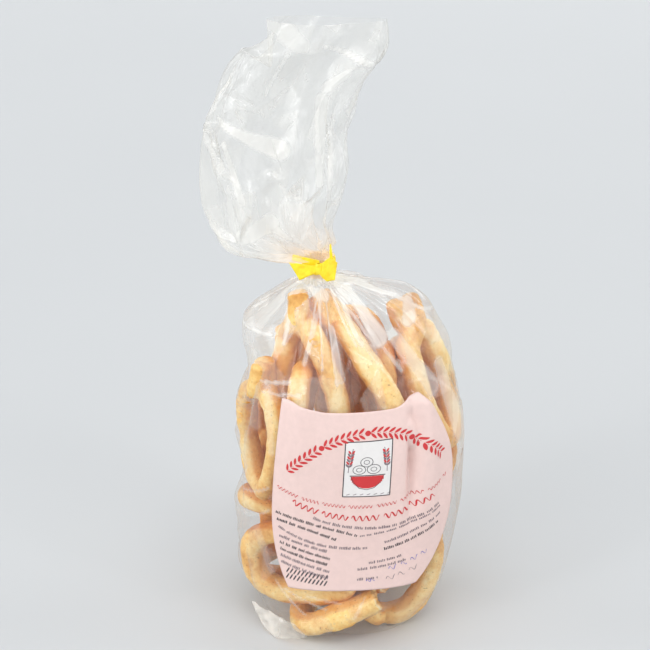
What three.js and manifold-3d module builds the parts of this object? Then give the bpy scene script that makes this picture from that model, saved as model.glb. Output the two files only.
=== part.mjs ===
// A clear film bag of boiled ring biscuits, tied at the neck with a yellow tape and labelled in front.
// Millimetres, +Z up. The bag stands on its flat base, whose middle is the origin, and the label
// looks along -Y. The bag is one solid: base, filled body, gathered neck and the crumpled flare of
// film above the tie. Its skin is drawn over the ring biscuits inside, so that they show as relief.
import * as THREE from "three";
import { mergeVertices } from "three/addons/utils/BufferGeometryUtils.js";
import Module from "manifold-3d";

const wasm = await Module();
wasm.setup();

// Driving dimensions of the bag
const NECK_X = -18.5; // the neck leans to the left of the base
const NECK_LOW_Z = 211;
const NECK_HIGH_Z = 220;
const NECK_RADIUS = 7;
const COLUMNS = 84; // facets round the bag
const BODY_ROWS = 36; // rows from the base up to the neck
const FLARE_ROWS = 20; // rows from the neck up to the rim
const MOUTH_DIP = 5; // the rim's middle lies this much lower than the rim
const FILM_GAP = 0.6; // air between a biscuit and the film over it
const FILM_PASSES = 14; // rounds of drawing the film taut
const FLAT_BASE_Z = 1; // below this the base stays flat
const TAUT = 0.05; // share by which the film draws in between biscuits, away from the label
const TAUT_LOW_Z = 25; // it does so fully between these heights
const TAUT_HIGH_Z = 145;
const TAUT_FADE = 20; // and fades out over this much height below and above them

// Sections of the bag from base to rim: middle at x and z, tilt about Y in degrees (right side up),
// reach to the left, right, front and back, how square the outline is (2 is an ellipse), and the
// angle above the level at which a biscuit there pushes the film out.
const SECTIONS = [
  { x: 0, z: 0, tilt: 0, left: 49, right: 38, front: 39, back: 36, square: 2.5, rise: 0 },
  { x: 0, z: 4, tilt: 0, left: 54, right: 43, front: 44, back: 41, square: 2.5, rise: 0 },
  { x: 0, z: 15, tilt: 0, left: 59, right: 49, front: 49, back: 45, square: 2.5, rise: 0 },
  { x: 0, z: 35, tilt: 0, left: 62, right: 55, front: 51, back: 48, square: 2.4, rise: 0 },
  { x: 0, z: 60, tilt: 0, left: 63, right: 61, front: 51, back: 49, square: 2.3, rise: 0 },
  { x: 0, z: 90, tilt: 0, left: 65, right: 66, front: 52, back: 51, square: 2.2, rise: 0 },
  { x: 0, z: 120, tilt: 0, left: 64, right: 66, front: 52, back: 51, square: 2.2, rise: 0 },
  { x: 0, z: 150, tilt: 0, left: 62, right: 60, front: 49, back: 47, square: 2.2, rise: 0 },
  { x: -2, z: 172, tilt: 0, left: 60, right: 57, front: 40, back: 40, square: 2.2, rise: 15 },
  { x: -5, z: 185, tilt: 0, left: 56, right: 53, front: 32, back: 30, square: 2.2, rise: 30 },
  { x: -10, z: 197, tilt: 0, left: 36, right: 50, front: 23, back: 20, square: 2.1, rise: 45 },
  { x: -14, z: 204, tilt: 0, left: 23, right: 44, front: 15, back: 12, square: 2.0, rise: 60 },
  { x: NECK_X, z: NECK_LOW_Z, tilt: 0, left: 7, right: 7, front: 7, back: 7, square: 2, rise: 0 },
  { x: NECK_X, z: NECK_HIGH_Z, tilt: 0, left: 7, right: 7, front: 7, back: 7, square: 2, rise: 0 },
  { x: -28, z: 223, tilt: 7, left: 20, right: 15, front: 11, back: 11, square: 2, rise: 0 },
  { x: -39, z: 229, tilt: 5, left: 27, right: 27, front: 15, back: 15, square: 2, rise: 0 },
  { x: -43, z: 244, tilt: 1, left: 31, right: 29, front: 18, back: 18, square: 2, rise: 0 },
  { x: -43, z: 262, tilt: 0, left: 34, right: 34, front: 20, back: 20, square: 2, rise: 0 },
  { x: -41, z: 281, tilt: 0, left: 36, right: 35, front: 20, back: 20, square: 2, rise: 0 },
  { x: -38, z: 300, tilt: 0, left: 38, right: 34, front: 19, back: 19, square: 2, rise: 0 },
  { x: -31, z: 320, tilt: 1, left: 41, right: 31, front: 16, back: 16, square: 2, rise: 0 },
  { x: -23, z: 340, tilt: 1, left: 38, right: 37, front: 11, back: 11, square: 2, rise: 0 },
  { x: -14.5, z: 355, tilt: 1, left: 33, right: 31, front: 7, back: 7, square: 2, rise: 0 },
];
const NECK_LOW = 12; // the neck's first section
const FILLED_TO = 11.5; // the section place up to which biscuits push the film out

// Folds of the film, as waves round the bag: how many, how deep as a share of the reach, the section
// about which they are deepest, how many sections they fade over, and a turn in degrees.
const FOLDS = [
  { count: 12, depth: 0.1, about: 12.5, fade: 1.7, turn: 10 },
  { count: 7, depth: 0.1, about: 16, fade: 2.4, turn: 40 },
  { count: 5, depth: 0.11, about: 19.5, fade: 2.6, turn: 75 },
];

// Ring biscuits: one end of the long axis, the other end, the ring's turn about that axis (0 shows
// its hole to the front, 90 to the right), its outer width, the thickness of its dough rope, and how
// freely it gives way to its neighbours. A broken ring lacks its rope within a gap, in degrees to
// each side of its top. A pinched ring narrows to its top over that length, where its ends cross in
// a knob. Ends are on the rope's centreline.
const RINGS = [
  // upper layer, front
  { top: [-33, -14, 198], foot: [-20, -29, 122], turn: -46, width: 58, rope: 13, free: 0.2, pinch: 60 },
  { top: [-16, -4, 197], foot: [31, -31, 124], turn: -66, width: 44, rope: 13, free: 0.2, pinch: 62 },
  { top: [3, 2, 156], foot: [0, 0, 80], turn: 84, width: 44, rope: 13.5, free: 0.5 },
  { top: [22, -6, 167], foot: [38, -24, 92], turn: 70, width: 44, rope: 12.5, free: 0.4 },
  { top: [28, -2, 193], foot: [54, -4, 114], turn: 66, width: 48, rope: 13.5, free: 0.15, pinch: 50 },
  { top: [-51, -10, 159], foot: [-52, -16, 84], turn: -50, width: 49, rope: 12, free: 0.15, pinch: 30 },
  { top: [-31, -31, 165], foot: [-34, -30, 88], turn: -78, width: 42, rope: 12.5, free: 0.2 },
  // lower layer, front
  { top: [58, 12, 96], foot: [54, 4, 20], turn: 72, width: 46, rope: 13, free: 0.06 },
  { top: [46, -18, 58], foot: [18, -38, 9], turn: 8, width: 50, rope: 13, free: 0.1 },
  { top: [-54, -20, 40], foot: [6, -42, 36], turn: -12, width: 53, rope: 13.5, free: 0.15 },
  { top: [24, -28, 38], foot: [-30, -25, 9], turn: 88, width: 43, rope: 14, free: 0.1, gap: 56 },
  { top: [-57, 4, 66], foot: [8, -8, 64], turn: 88, width: 46, rope: 13, free: 0.6 },
  // upper layer, back
  { top: [-32, 26, 162], foot: [-42, 34, 88], turn: 150, width: 46, rope: 13, free: 1, pinch: 40 },
  { top: [2, 28, 172], foot: [0, 38, 96], turn: 176, width: 46, rope: 13, free: 1 },
  { top: [30, 26, 170], foot: [42, 28, 96], turn: 160, width: 46, rope: 13.5, free: 1, pinch: 40 },
  // lower layer, back
  { top: [-20, 36, 86], foot: [-22, 32, 10], turn: 176, width: 48, rope: 13, free: 1, pinch: 40 },
  { top: [28, 34, 84], foot: [28, 30, 9], turn: 172, width: 48, rope: 13, free: 1 },
  { top: [-50, 20, 118], foot: [-48, 18, 36], turn: -110, width: 46, rope: 13, free: 0.4, pinch: 40 },
  { top: [-54, 8, 26], foot: [18, 10, 22], turn: 80, width: 44, rope: 13, free: 0.5 },
];
const RING_STEPS = 28; // points along each rope
const RING_SQUARE = 2.5; // 2 would make each ring an ellipse
const RING_WARP = 2; // how far a ring bends out of its plane
const PINCH_SHARE = 0.8; // share by which a pinched ring is narrower at its top
const RING_SPREAD = 1500; // mean square distance of a ring's points from its middle, mm2
const SETTLE_ROUNDS = 160;
const HOMING_ROUNDS = 120; // rounds in which rings are also drawn back to their first place
const HOMING = 0.03;
const SETTLE_GAP = 0.4; // air left between two biscuits
const LARGEST_SPIN = 0.05; // radians in one round
const STEP_SHARE = 0.5; // share of a push that a ring follows in one round
const WALL_SHARE = 0.25; // share of its overlap with the wall that a point is pushed back
const BULGE = 2; // how far a biscuit may push the film out
const LABEL_BULGE = -0.5; // and how far behind the label
const SHOULDER_BULGE = 7; // how much further at the shoulders, which start between these heights
const SHOULDER_LOW_Z = 150;
const SHOULDER_HIGH_Z = 170;
const HEEL = 1.2; // height of a rope above the floor
const CEILING_Z = 200; // height that no centreline passes

// The label: a paper sheet with bowed sides and raised upper corners on the front of the bag
const LABEL_TURN = 7; // degrees round the bag, to the right
const LABEL_MIDDLE_Z = 95.5;
const LABEL_LEAN = 3; // degrees by which its height leans to the right
const LABEL_RISE = 2; // degrees by which its width rises to the right
const LABEL_HALF_HEIGHT = 55.5;
const LABEL_LEFT = { width: 52, top: 0.93, bottom: 0.75 }; // reach at the middle, and shares of it
const LABEL_RIGHT = { width: 56, top: 0.54, bottom: 0.6 }; // at the top and bottom edges
const LABEL_BOW = 2.4; // how late the sides turn in towards the edges
const LABEL_CORNER_RISE = 5; // how far the upper corners stand above the top edge's middle
const LABEL_CORNER_START = 0.45; // share of the width from which they rise
const LABEL_GAP = 0.5;
const LABEL_THICKNESS = 0.6;
const LABEL_ACROSS = 26; // facets across and up the label
const LABEL_UP = 24;
const LABEL_ZONE = 1.1; // radians to each side of the label's middle that stay smooth
const LABEL_ZONE_EDGE = 1.54; // radians at which the film is free again
const LABEL_ZONE_RISE = 12; // height above the label over which it becomes free

// The tie: a flat tape round the neck, pinched in front, with a flared tail to each side
const TIE_INSIDE = NECK_RADIUS * 1.12 + 0.6; // clear of the neck's folds
const TIE_THICKNESS = 1.2;
const TIE_CROWN = 0.5; // how much thicker the band is at mid height
const TIE_HEIGHT = 8;
const TIE_FACETS = 28;
const TIE_FRONT = -(TIE_INSIDE + TIE_THICKNESS + 1); // the tails lie this far in front
const PINCH = { x: -0.5, width: 4.5, depth: 3.4, height: 5.5, set: 0.7 };
const TAILS = [
  { x: 0.5, z: 0.5, turn: 188, length: 18, narrow: 3, wide: 9, slant: 5, droop: 1 },
  { x: -0.5, z: 0, turn: 16, length: 11, narrow: 3.5, wide: 13, slant: 1.5, droop: 0 },
];

// Fineness of the working
const PLACE_ERROR = 1e-6; // of a section place found by halving
const WALK_STRIDE = 0.01; // radians of one step round an outline
const MERGE_DISTANCE = 1e-4; // between points that are one corner

const degrees = THREE.MathUtils.degToRad;

// Smooth value of one named number of the sections at a fractional section place. Slopes are held
// to the smaller side step, so that nothing overshoots at the neck.
function sectionValue(name, place) {
  const last = SECTIONS.length - 1;
  const i = Math.min(Math.floor(place), last - 1);
  const t = place - i;
  const [a, b, c, d] = [i - 1, i, i + 1, i + 2].map((k) => SECTIONS[Math.min(Math.max(k, 0), last)][name]);
  const slope = (p, q, r) => ((q - p) * (r - q) <= 0 ? 0 : 2 / (1 / (q - p) + 1 / (r - q)));
  const t2 = t * t;
  const t3 = t2 * t;
  const ends = (2 * t3 - 3 * t2 + 1) * b + (3 * t2 - 2 * t3) * c;
  return ends + (t3 - 2 * t2 + t) * slope(a, b, c) + (t3 - t2) * slope(b, c, d);
}

function sectionAt(place) {
  const names = ["x", "z", "tilt", "left", "right", "front", "back", "square", "rise"];
  const section = Object.fromEntries(names.map((name) => [name, sectionValue(name, place)]));
  section.middle = new THREE.Vector3(section.x, 0, section.z);
  return section;
}

// The body's section place at a height, found by halving.
function placeOfHeight(z) {
  let low = 0;
  let high = NECK_LOW;
  while (high - low > PLACE_ERROR) {
    const mid = (low + high) / 2;
    if (sectionValue("z", mid) < z) low = mid;
    else high = mid;
  }
  return (low + high) / 2;
}

// Distance from a section's middle to its plain outline in direction angle (0 is right, 90 back).
function reach(section, angle) {
  const c = Math.cos(angle);
  const s = Math.sin(angle);
  const side = c < 0 ? section.left : section.right;
  const depth = s < 0 ? section.front : section.back;
  const n = section.square;
  return (Math.abs(c / side) ** n + Math.abs(s / depth) ** n) ** (-1 / n);
}

// Unit direction of an angle in a section's plane.
function direction(section, angle) {
  const tilt = degrees(section.tilt);
  const across = Math.cos(angle);
  return new THREE.Vector3(across * Math.cos(tilt), Math.sin(angle), across * Math.sin(tilt));
}

// The film's folds at a place and angle, as a factor on its reach.
function foldFactor(place, angle) {
  let factor = 1;
  for (const { count, depth, about, fade, turn } of FOLDS) {
    const share = Math.exp(-(((place - about) / fade) ** 2));
    factor += depth * share * Math.cos(count * (angle - degrees(turn)));
  }
  return factor;
}

// Angle away from the middle of the label.
function fromLabel(angle) {
  const turned = angle + Math.PI / 2 - degrees(LABEL_TURN);
  return Math.abs(Math.atan2(Math.sin(turned), Math.cos(turned)));
}

// How free the film is from the label: 0 on it, 1 well away from it.
function awayFromLabel(z, angle) {
  const top = LABEL_MIDDLE_Z + LABEL_HALF_HEIGHT;
  const above = THREE.MathUtils.smoothstep(z, top, top + LABEL_ZONE_RISE);
  return Math.max(above, THREE.MathUtils.smoothstep(fromLabel(angle), LABEL_ZONE, LABEL_ZONE_EDGE));
}

// Whether a biscuit there would press against the label.
function behindLabel(z, angle) {
  return fromLabel(angle) < LABEL_ZONE && Math.abs(z - LABEL_MIDDLE_Z) < LABEL_HALF_HEIGHT;
}

// How far the film draws in between the biscuits: not at the label, the base and the shoulders.
function tautFactor(z, angle) {
  const low = THREE.MathUtils.smoothstep(z, TAUT_LOW_Z - TAUT_FADE, TAUT_LOW_Z);
  const high = 1 - THREE.MathUtils.smoothstep(z, TAUT_HIGH_Z, TAUT_HIGH_Z + TAUT_FADE);
  return 1 - TAUT * low * high * awayFromLabel(z, angle);
}

// Points of a ring's centreline about its middle, in its own axes: long axis, side and face.
function ringOutline(length, width, warp, gap, pinch) {
  const points = [];
  for (let k = 0; k < RING_STEPS; k++) {
    const turn = gap + ((2 * Math.PI - 2 * gap) * k) / (gap ? RING_STEPS - 1 : RING_STEPS);
    const c = Math.cos(turn);
    const s = Math.sin(turn);
    const along = (Math.sign(c) * Math.abs(c) ** (2 / RING_SQUARE) * length) / 2;
    let aside = (Math.sign(s) * Math.abs(s) ** (2 / RING_SQUARE) * width) / 2;
    if (pinch) aside *= 1 - PINCH_SHARE * THREE.MathUtils.clamp((along - length / 2) / pinch + 1, 0, 1);
    points.push([along, aside, warp * Math.sin(2 * turn)]);
  }
  return points;
}

// A ring as its middle and the offsets of its centreline points from it. Its face starts as near
// to the front as the long axis allows.
function layRing({ top, foot, turn, width, rope, free, gap = 0, pinch = 0 }, index) {
  const end = new THREE.Vector3(...top);
  const other = new THREE.Vector3(...foot);
  const along = end.clone().sub(other);
  const length = along.length();
  along.normalize();
  const front = new THREE.Vector3(0, -1, 0);
  const face = front.clone().addScaledVector(along, -front.dot(along)).normalize();
  face.applyAxisAngle(along, degrees(turn));
  const side = new THREE.Vector3().crossVectors(face, along);
  const warp = RING_WARP * (index % 2 ? 1 : -1);
  const offsets = ringOutline(length, width - rope, warp, degrees(gap), pinch).map(([a, b, c]) =>
    new THREE.Vector3().addScaledVector(along, a).addScaledVector(side, b).addScaledVector(face, c),
  );
  const middle = end.add(other).multiplyScalar(0.5);
  return { middle, home: middle.clone(), offsets, points: [], rope, free, gap };
}

// The nearest two centreline points of two rings.
function nearest(one, two) {
  let best = { distance: Infinity };
  for (const p of one.points) {
    for (const q of two.points) {
      const square = p.distanceToSquared(q);
      if (square < best.distance) best = { distance: square, p, q };
    }
  }
  best.distance = Math.sqrt(best.distance);
  return best;
}

function push(ring, at, by) {
  ring.move.add(by);
  ring.spin.add(new THREE.Vector3().crossVectors(at.clone().sub(ring.middle), by));
}

// Pushes two rings apart where they are nearest, the freer one further.
function separate(one, two) {
  const { distance, p, q } = nearest(one, two);
  const short = (one.rope + two.rope) / 2 + SETTLE_GAP - distance;
  if (short <= 0) return;
  const by = p.clone().sub(q).setLength(short);
  const share = one.free / (one.free + two.free);
  push(one, p, by.clone().multiplyScalar(share));
  push(two, q, by.multiplyScalar(share - 1));
}

// Pushes a ring back inside the bag's wall, above its base and below its neck.
function contain(ring, heights) {
  for (const p of ring.points) {
    const row = heights[Math.min(Math.max(Math.round(p.z), 0), NECK_LOW_Z)];
    const flat = new THREE.Vector3(p.x - row.x, p.y, 0);
    const angle = Math.atan2(flat.y, flat.x);
    const shoulder = SHOULDER_BULGE * THREE.MathUtils.smoothstep(p.z, SHOULDER_LOW_Z, SHOULDER_HIGH_Z);
    const bulge = behindLabel(p.z, angle) ? LABEL_BULGE : BULGE + shoulder;
    const limit = reach(row, angle) + bulge - ring.rope / 2 - FILM_GAP;
    const over = flat.length() - limit;
    if (over > 0) push(ring, p, flat.setLength(-over * WALL_SHARE));
    const low = ring.rope / 2 + HEEL - p.z;
    if (low > 0) push(ring, p, new THREE.Vector3(0, 0, low * WALL_SHARE));
    const high = p.z - CEILING_Z;
    if (high > 0) push(ring, p, new THREE.Vector3(0, 0, -high * WALL_SHARE));
  }
}

// Moves the rings apart and back inside the bag, a little each round.
function settle(rings) {
  const heights = [];
  for (let z = 0; z <= NECK_LOW_Z; z++) heights.push(sectionAt(placeOfHeight(z)));
  for (let round = 0; round < SETTLE_ROUNDS; round++) {
    for (const ring of rings) {
      ring.points = ring.offsets.map((offset) => offset.clone().add(ring.middle));
      ring.move = new THREE.Vector3();
      ring.spin = new THREE.Vector3();
    }
    rings.forEach((one, i) => rings.slice(i + 1).forEach((two) => separate(one, two)));
    rings.forEach((ring) => contain(ring, heights));
    for (const ring of rings) {
      const homing = round < HOMING_ROUNDS ? HOMING : 0;
      const back = ring.home.clone().sub(ring.middle).multiplyScalar(homing);
      ring.middle.addScaledVector(ring.move, STEP_SHARE).add(back);
      const spin = ring.spin.multiplyScalar(STEP_SHARE / RING_SPREAD);
      const angle = Math.min(spin.length(), LARGEST_SPIN);
      spin.normalize();
      ring.offsets.forEach((offset) => offset.applyAxisAngle(spin, angle));
    }
  }
  return rings;
}

// Spheres along the settled ropes, with one between each two centreline points.
function ropeSpheres(rings) {
  const spheres = [];
  for (const { middle, offsets, rope, gap } of rings) {
    const count = offsets.length;
    offsets.forEach((offset, k) => {
      spheres.push({ centre: offset.clone().add(middle), radius: rope / 2 + FILM_GAP });
      if (gap && (k === 0 || k > count - 3)) return;
      const [a, b, c] = [k + count - 1, k + 1, k + 2].map((n) => offsets[n % count]);
      const between = offset.clone().add(b).multiplyScalar(9).sub(a).sub(c).divideScalar(16);
      spheres.push({ centre: between.add(middle), radius: rope / 2 + FILM_GAP });
    });
  }
  return spheres;
}

// How far a point has to move in a direction to clear every sphere that lies on its way.
function clearance(point, dir, spheres) {
  const between = new THREE.Vector3();
  let most = 0;
  for (const { centre, radius } of spheres) {
    between.subVectors(centre, point);
    const b = between.dot(dir);
    const under = b * b - between.lengthSq() + radius * radius;
    if (under >= 0) most = Math.max(most, b + Math.sqrt(under));
  }
  return most;
}

// One point of the bag's plain surface, with the way it moves when biscuits push the film out.
function filmPoint(section, place, angle, spheres) {
  const level = direction(section, angle);
  const out = reach(section, angle) * foldFactor(place, angle) * tautFactor(section.z, angle);
  const point = section.middle.clone().addScaledVector(level, out);
  const rise = degrees(section.rise);
  const way = level.multiplyScalar(Math.cos(rise)).add(new THREE.Vector3(0, 0, Math.sin(rise)));
  const filled = section.z > FLAT_BASE_Z && place < FILLED_TO;
  const needed = filled ? clearance(point, way, spheres) : 0;
  return { point, way, needed, pushed: needed, free: filled ? awayFromLabel(section.z, angle) : 0 };
}

// The film's points, row by row: the plain bag, pushed out where biscuits reach further, and drawn
// taut over them.
function filmRows(spheres) {
  const places = [];
  for (let j = 0; j <= BODY_ROWS; j++) places.push((NECK_LOW * j) / BODY_ROWS);
  const flare = SECTIONS.length - 1 - NECK_LOW;
  for (let j = 1; j <= FLARE_ROWS; j++) places.push(NECK_LOW + (flare * j) / FLARE_ROWS);
  const rows = places.map((place) => {
    const section = sectionAt(place);
    const angles = Array.from({ length: COLUMNS }, (_, i) => (2 * Math.PI * i) / COLUMNS);
    return angles.map((angle) => filmPoint(section, place, angle, spheres));
  });
  for (let pass = 0; pass < FILM_PASSES; pass++) {
    const before = rows.map((row) => row.map((spot) => spot.pushed));
    for (let j = 1; j < BODY_ROWS; j++) {
      rows[j].forEach((spot, i) => {
        const beside = before[j][(i + COLUMNS - 1) % COLUMNS] + before[j][(i + 1) % COLUMNS];
        const smooth = (beside + before[j - 1][i] + before[j + 1][i]) / 4;
        spot.pushed = Math.max(spot.needed, smooth * spot.free);
      });
    }
  }
  return rows.map((row) => row.map(({ point, way, pushed }) => point.addScaledVector(way, pushed)));
}

// Closed shell over rows of points, with a fan over each end.
function shell(rows, lowPoint, highPoint) {
  const count = rows[0].length;
  const points = [...rows.flat(), lowPoint, highPoint];
  const low = points.length - 2;
  const high = points.length - 1;
  const last = (rows.length - 1) * count;
  const index = [];
  for (let i = 0; i < count; i++) {
    const next = (i + 1) % count;
    for (let j = 0; j < rows.length - 1; j++) {
      const [a, b, c, d] = [j * count + i, j * count + next, (j + 1) * count + next, (j + 1) * count + i];
      index.push(a, b, c, a, c, d);
    }
    index.push(low, next, i);
    index.push(high, last + i, last + next);
  }
  const geometry = new THREE.BufferGeometry().setFromPoints(points);
  geometry.setIndex(index);
  geometry.computeVertexNormals();
  return geometry;
}

function bagGeometry(rows) {
  const rim = SECTIONS[SECTIONS.length - 1];
  const mouth = new THREE.Vector3(rim.x, 0, rim.z - MOUTH_DIP);
  return shell(rows, new THREE.Vector3(0, 0, 0), mouth);
}

// Reach of one side of the label at a height, as a share of its reach at the middle: bowed sides.
function labelReach(side, share) {
  const edge = share > 0 ? side.top : side.bottom;
  return side.width * (edge + (1 - edge) * (1 - Math.abs(share) ** LABEL_BOW));
}

// Angle at which an outline's arc, walked from a start angle, is as long as asked.
function walk(section, start, length) {
  const stride = WALK_STRIDE * Math.sign(length);
  let angle = start;
  let left = Math.abs(length);
  while (left > 0) {
    const here = reach(section, angle);
    const next = reach(section, angle + stride);
    const piece = Math.sqrt(here * here + next * next - 2 * here * next * Math.cos(stride));
    angle += stride * Math.min(1, left / piece);
    left -= piece;
  }
  return angle;
}

// The label's place on the bag: s to the right and t up, in millimetres along the film.
function onLabel(s, t, out) {
  const aside = s * Math.cos(degrees(LABEL_RISE)) + t * Math.sin(degrees(LABEL_LEAN));
  const up = t * Math.cos(degrees(LABEL_LEAN)) + s * Math.sin(degrees(LABEL_RISE));
  const section = sectionAt(placeOfHeight(LABEL_MIDDLE_Z + up));
  const angle = walk(section, degrees(LABEL_TURN) - Math.PI / 2, aside);
  return section.middle.addScaledVector(direction(section, angle), reach(section, angle) + out);
}

// A spot of the label, from -1 to 1 across and up it, a distance off the film.
function labelSpot(across, share, out) {
  const s = across * labelReach(across < 0 ? LABEL_LEFT : LABEL_RIGHT, share);
  const corner = Math.max(share, 0) ** 3 * THREE.MathUtils.smoothstep(Math.abs(across), LABEL_CORNER_START, 1);
  return onLabel(s, share * LABEL_HALF_HEIGHT + corner * LABEL_CORNER_RISE, out);
}

function labelGeometry() {
  const sheet = (out) => {
    const points = [];
    for (let j = 0; j <= LABEL_UP; j++) {
      for (let i = 0; i <= LABEL_ACROSS; i++) {
        points.push(labelSpot((2 * i) / LABEL_ACROSS - 1, (2 * j) / LABEL_UP - 1, out));
      }
    }
    return points;
  };
  const inner = sheet(LABEL_GAP);
  const outer = sheet(LABEL_GAP + LABEL_THICKNESS);
  const wide = LABEL_ACROSS + 1;
  const all = inner.length;
  const index = [];
  for (let j = 0; j < LABEL_UP; j++) {
    for (let i = 0; i < LABEL_ACROSS; i++) {
      const a = j * wide + i;
      const [b, c, d] = [a + 1, a + wide + 1, a + wide];
      index.push(a + all, b + all, c + all, a + all, c + all, d + all);
      index.push(a, c, b, a, d, c);
    }
  }
  const edge = [];
  for (let i = 0; i < LABEL_ACROSS; i++) edge.push(i);
  for (let j = 0; j < LABEL_UP; j++) edge.push(j * wide + LABEL_ACROSS);
  for (let i = LABEL_ACROSS; i > 0; i--) edge.push(LABEL_UP * wide + i);
  for (let j = LABEL_UP; j > 0; j--) edge.push(j * wide);
  edge.forEach((a, k) => {
    const b = edge[(k + 1) % edge.length];
    index.push(a, b, b + all, a, b + all, a + all);
  });
  const geometry = new THREE.BufferGeometry().setFromPoints([...inner, ...outer]);
  geometry.setIndex(index);
  geometry.computeVertexNormals();
  return geometry;
}

// A three.js geometry as a solid, and back.
function toSolid(geometry, place = new THREE.Matrix4()) {
  const g = geometry.clone().applyMatrix4(place);
  g.deleteAttribute("normal");
  g.deleteAttribute("uv");
  const merged = mergeVertices(g, MERGE_DISTANCE);
  return new wasm.Manifold(
    new wasm.Mesh({
      numProp: 3,
      vertProperties: merged.attributes.position.array,
      triVerts: new Uint32Array(merged.index.array),
    }),
  );
}

function fromSolid(solid) {
  const made = solid.getMesh();
  const geometry = new THREE.BufferGeometry();
  geometry.setAttribute("position", new THREE.BufferAttribute(made.vertProperties, 3));
  geometry.setIndex(new THREE.BufferAttribute(made.triVerts, 1));
  geometry.computeVertexNormals();
  return geometry;
}

// The band round the neck.
function tieBand() {
  const outside = TIE_INSIDE + TIE_THICKNESS;
  const half = TIE_HEIGHT / 2;
  const profile = [
    new THREE.Vector2(TIE_INSIDE, -half),
    new THREE.Vector2(outside, -half),
    new THREE.Vector2(outside + TIE_CROWN, 0),
    new THREE.Vector2(outside, half),
    new THREE.Vector2(TIE_INSIDE, half),
    new THREE.Vector2(TIE_INSIDE, -half),
  ];
  const lathe = new THREE.LatheGeometry(profile, TIE_FACETS);
  lathe.rotateX(Math.PI / 2);
  return lathe;
}

// A tail: a flat tape that starts narrow at the pinch and widens to a slanted end.
function tieTail({ length, narrow, wide, slant, droop }) {
  const shape = new THREE.Shape();
  shape.moveTo(0, -narrow / 2);
  shape.lineTo(length - slant, -wide / 2 - droop);
  shape.lineTo(length, wide / 2 - droop);
  shape.lineTo(0, narrow / 2);
  shape.closePath();
  const plate = new THREE.ExtrudeGeometry(shape, { depth: TIE_THICKNESS, bevelEnabled: false });
  plate.rotateX(Math.PI / 2);
  return plate;
}

function tieGeometry() {
  const pinch = new THREE.BoxGeometry(PINCH.width, PINCH.depth, PINCH.height);
  const pinchPlace = new THREE.Matrix4().makeTranslation(PINCH.x, TIE_FRONT + PINCH.set, 0);
  let solid = toSolid(tieBand()).add(toSolid(pinch, pinchPlace));
  for (const tail of TAILS) {
    const place = new THREE.Matrix4().makeTranslation(tail.x, TIE_FRONT, tail.z);
    place.multiply(new THREE.Matrix4().makeRotationZ(degrees(tail.turn)));
    solid = solid.add(toSolid(tieTail(tail), place));
  }
  return fromSolid(solid);
}

function named(name, geometry, colour, roughness) {
  const material = new THREE.MeshStandardMaterial({ color: colour, roughness, metalness: 0 });
  const mesh = new THREE.Mesh(geometry, material);
  mesh.name = name;
  return mesh;
}

const spheres = ropeSpheres(settle(RINGS.map(layRing)));

const bag = named("bag", bagGeometry(filmRows(spheres)), 0xe9c48f, 0.35);
const label = named("label", labelGeometry(), 0xefd3cf, 0.7);
const tie = named("tie", tieGeometry(), 0xffdf1e, 0.4);
tie.position.set(NECK_X, 0, (NECK_LOW_Z + NECK_HIGH_Z) / 2);

const part = new THREE.Group();
part.add(bag, label, tie);

export default part;
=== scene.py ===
import itertools
import math

import bpy
import numpy as np
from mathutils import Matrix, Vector
from mathutils.bvhtree import BVHTree
from mathutils.geometry import delaunay_2d_cdt


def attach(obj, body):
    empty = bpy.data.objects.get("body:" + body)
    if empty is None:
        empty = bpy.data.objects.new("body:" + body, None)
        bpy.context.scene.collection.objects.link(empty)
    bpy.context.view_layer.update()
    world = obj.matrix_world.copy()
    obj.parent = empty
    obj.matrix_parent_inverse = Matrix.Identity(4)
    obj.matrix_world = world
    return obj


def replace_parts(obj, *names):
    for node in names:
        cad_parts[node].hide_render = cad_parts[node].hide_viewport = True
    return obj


# A clear film bag of boiled ring biscuits, tied at the neck with yellow tape, a pink label in front.
# Shapes are worked out in millimetres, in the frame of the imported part: the origin is the middle of
# the base, the label looks along -Y. Metres come in where a mesh is made or the camera is placed, and
# the floor and the lights are given in metres.

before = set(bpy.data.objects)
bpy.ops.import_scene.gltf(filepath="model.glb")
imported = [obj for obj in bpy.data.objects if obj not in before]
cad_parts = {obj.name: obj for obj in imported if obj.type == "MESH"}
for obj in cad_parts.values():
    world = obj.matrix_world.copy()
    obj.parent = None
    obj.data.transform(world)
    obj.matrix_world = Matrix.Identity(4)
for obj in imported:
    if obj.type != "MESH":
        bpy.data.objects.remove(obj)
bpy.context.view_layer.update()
MM = 0.001

# Driving dimensions, as in the part's solids
NECK_X = -18.5
NECK_LOW_Z = 211
NECK_HIGH_Z = 220
NECK_RADIUS = 7
FILM_GAP = 0.6
TAUT = 0.05
TAUT_LOW_Z = 25
TAUT_HIGH_Z = 145
TAUT_FADE = 20
FLAT_BASE_Z = 1
NECK_PLACE = 12
FILLED_TO = 11.5

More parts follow.
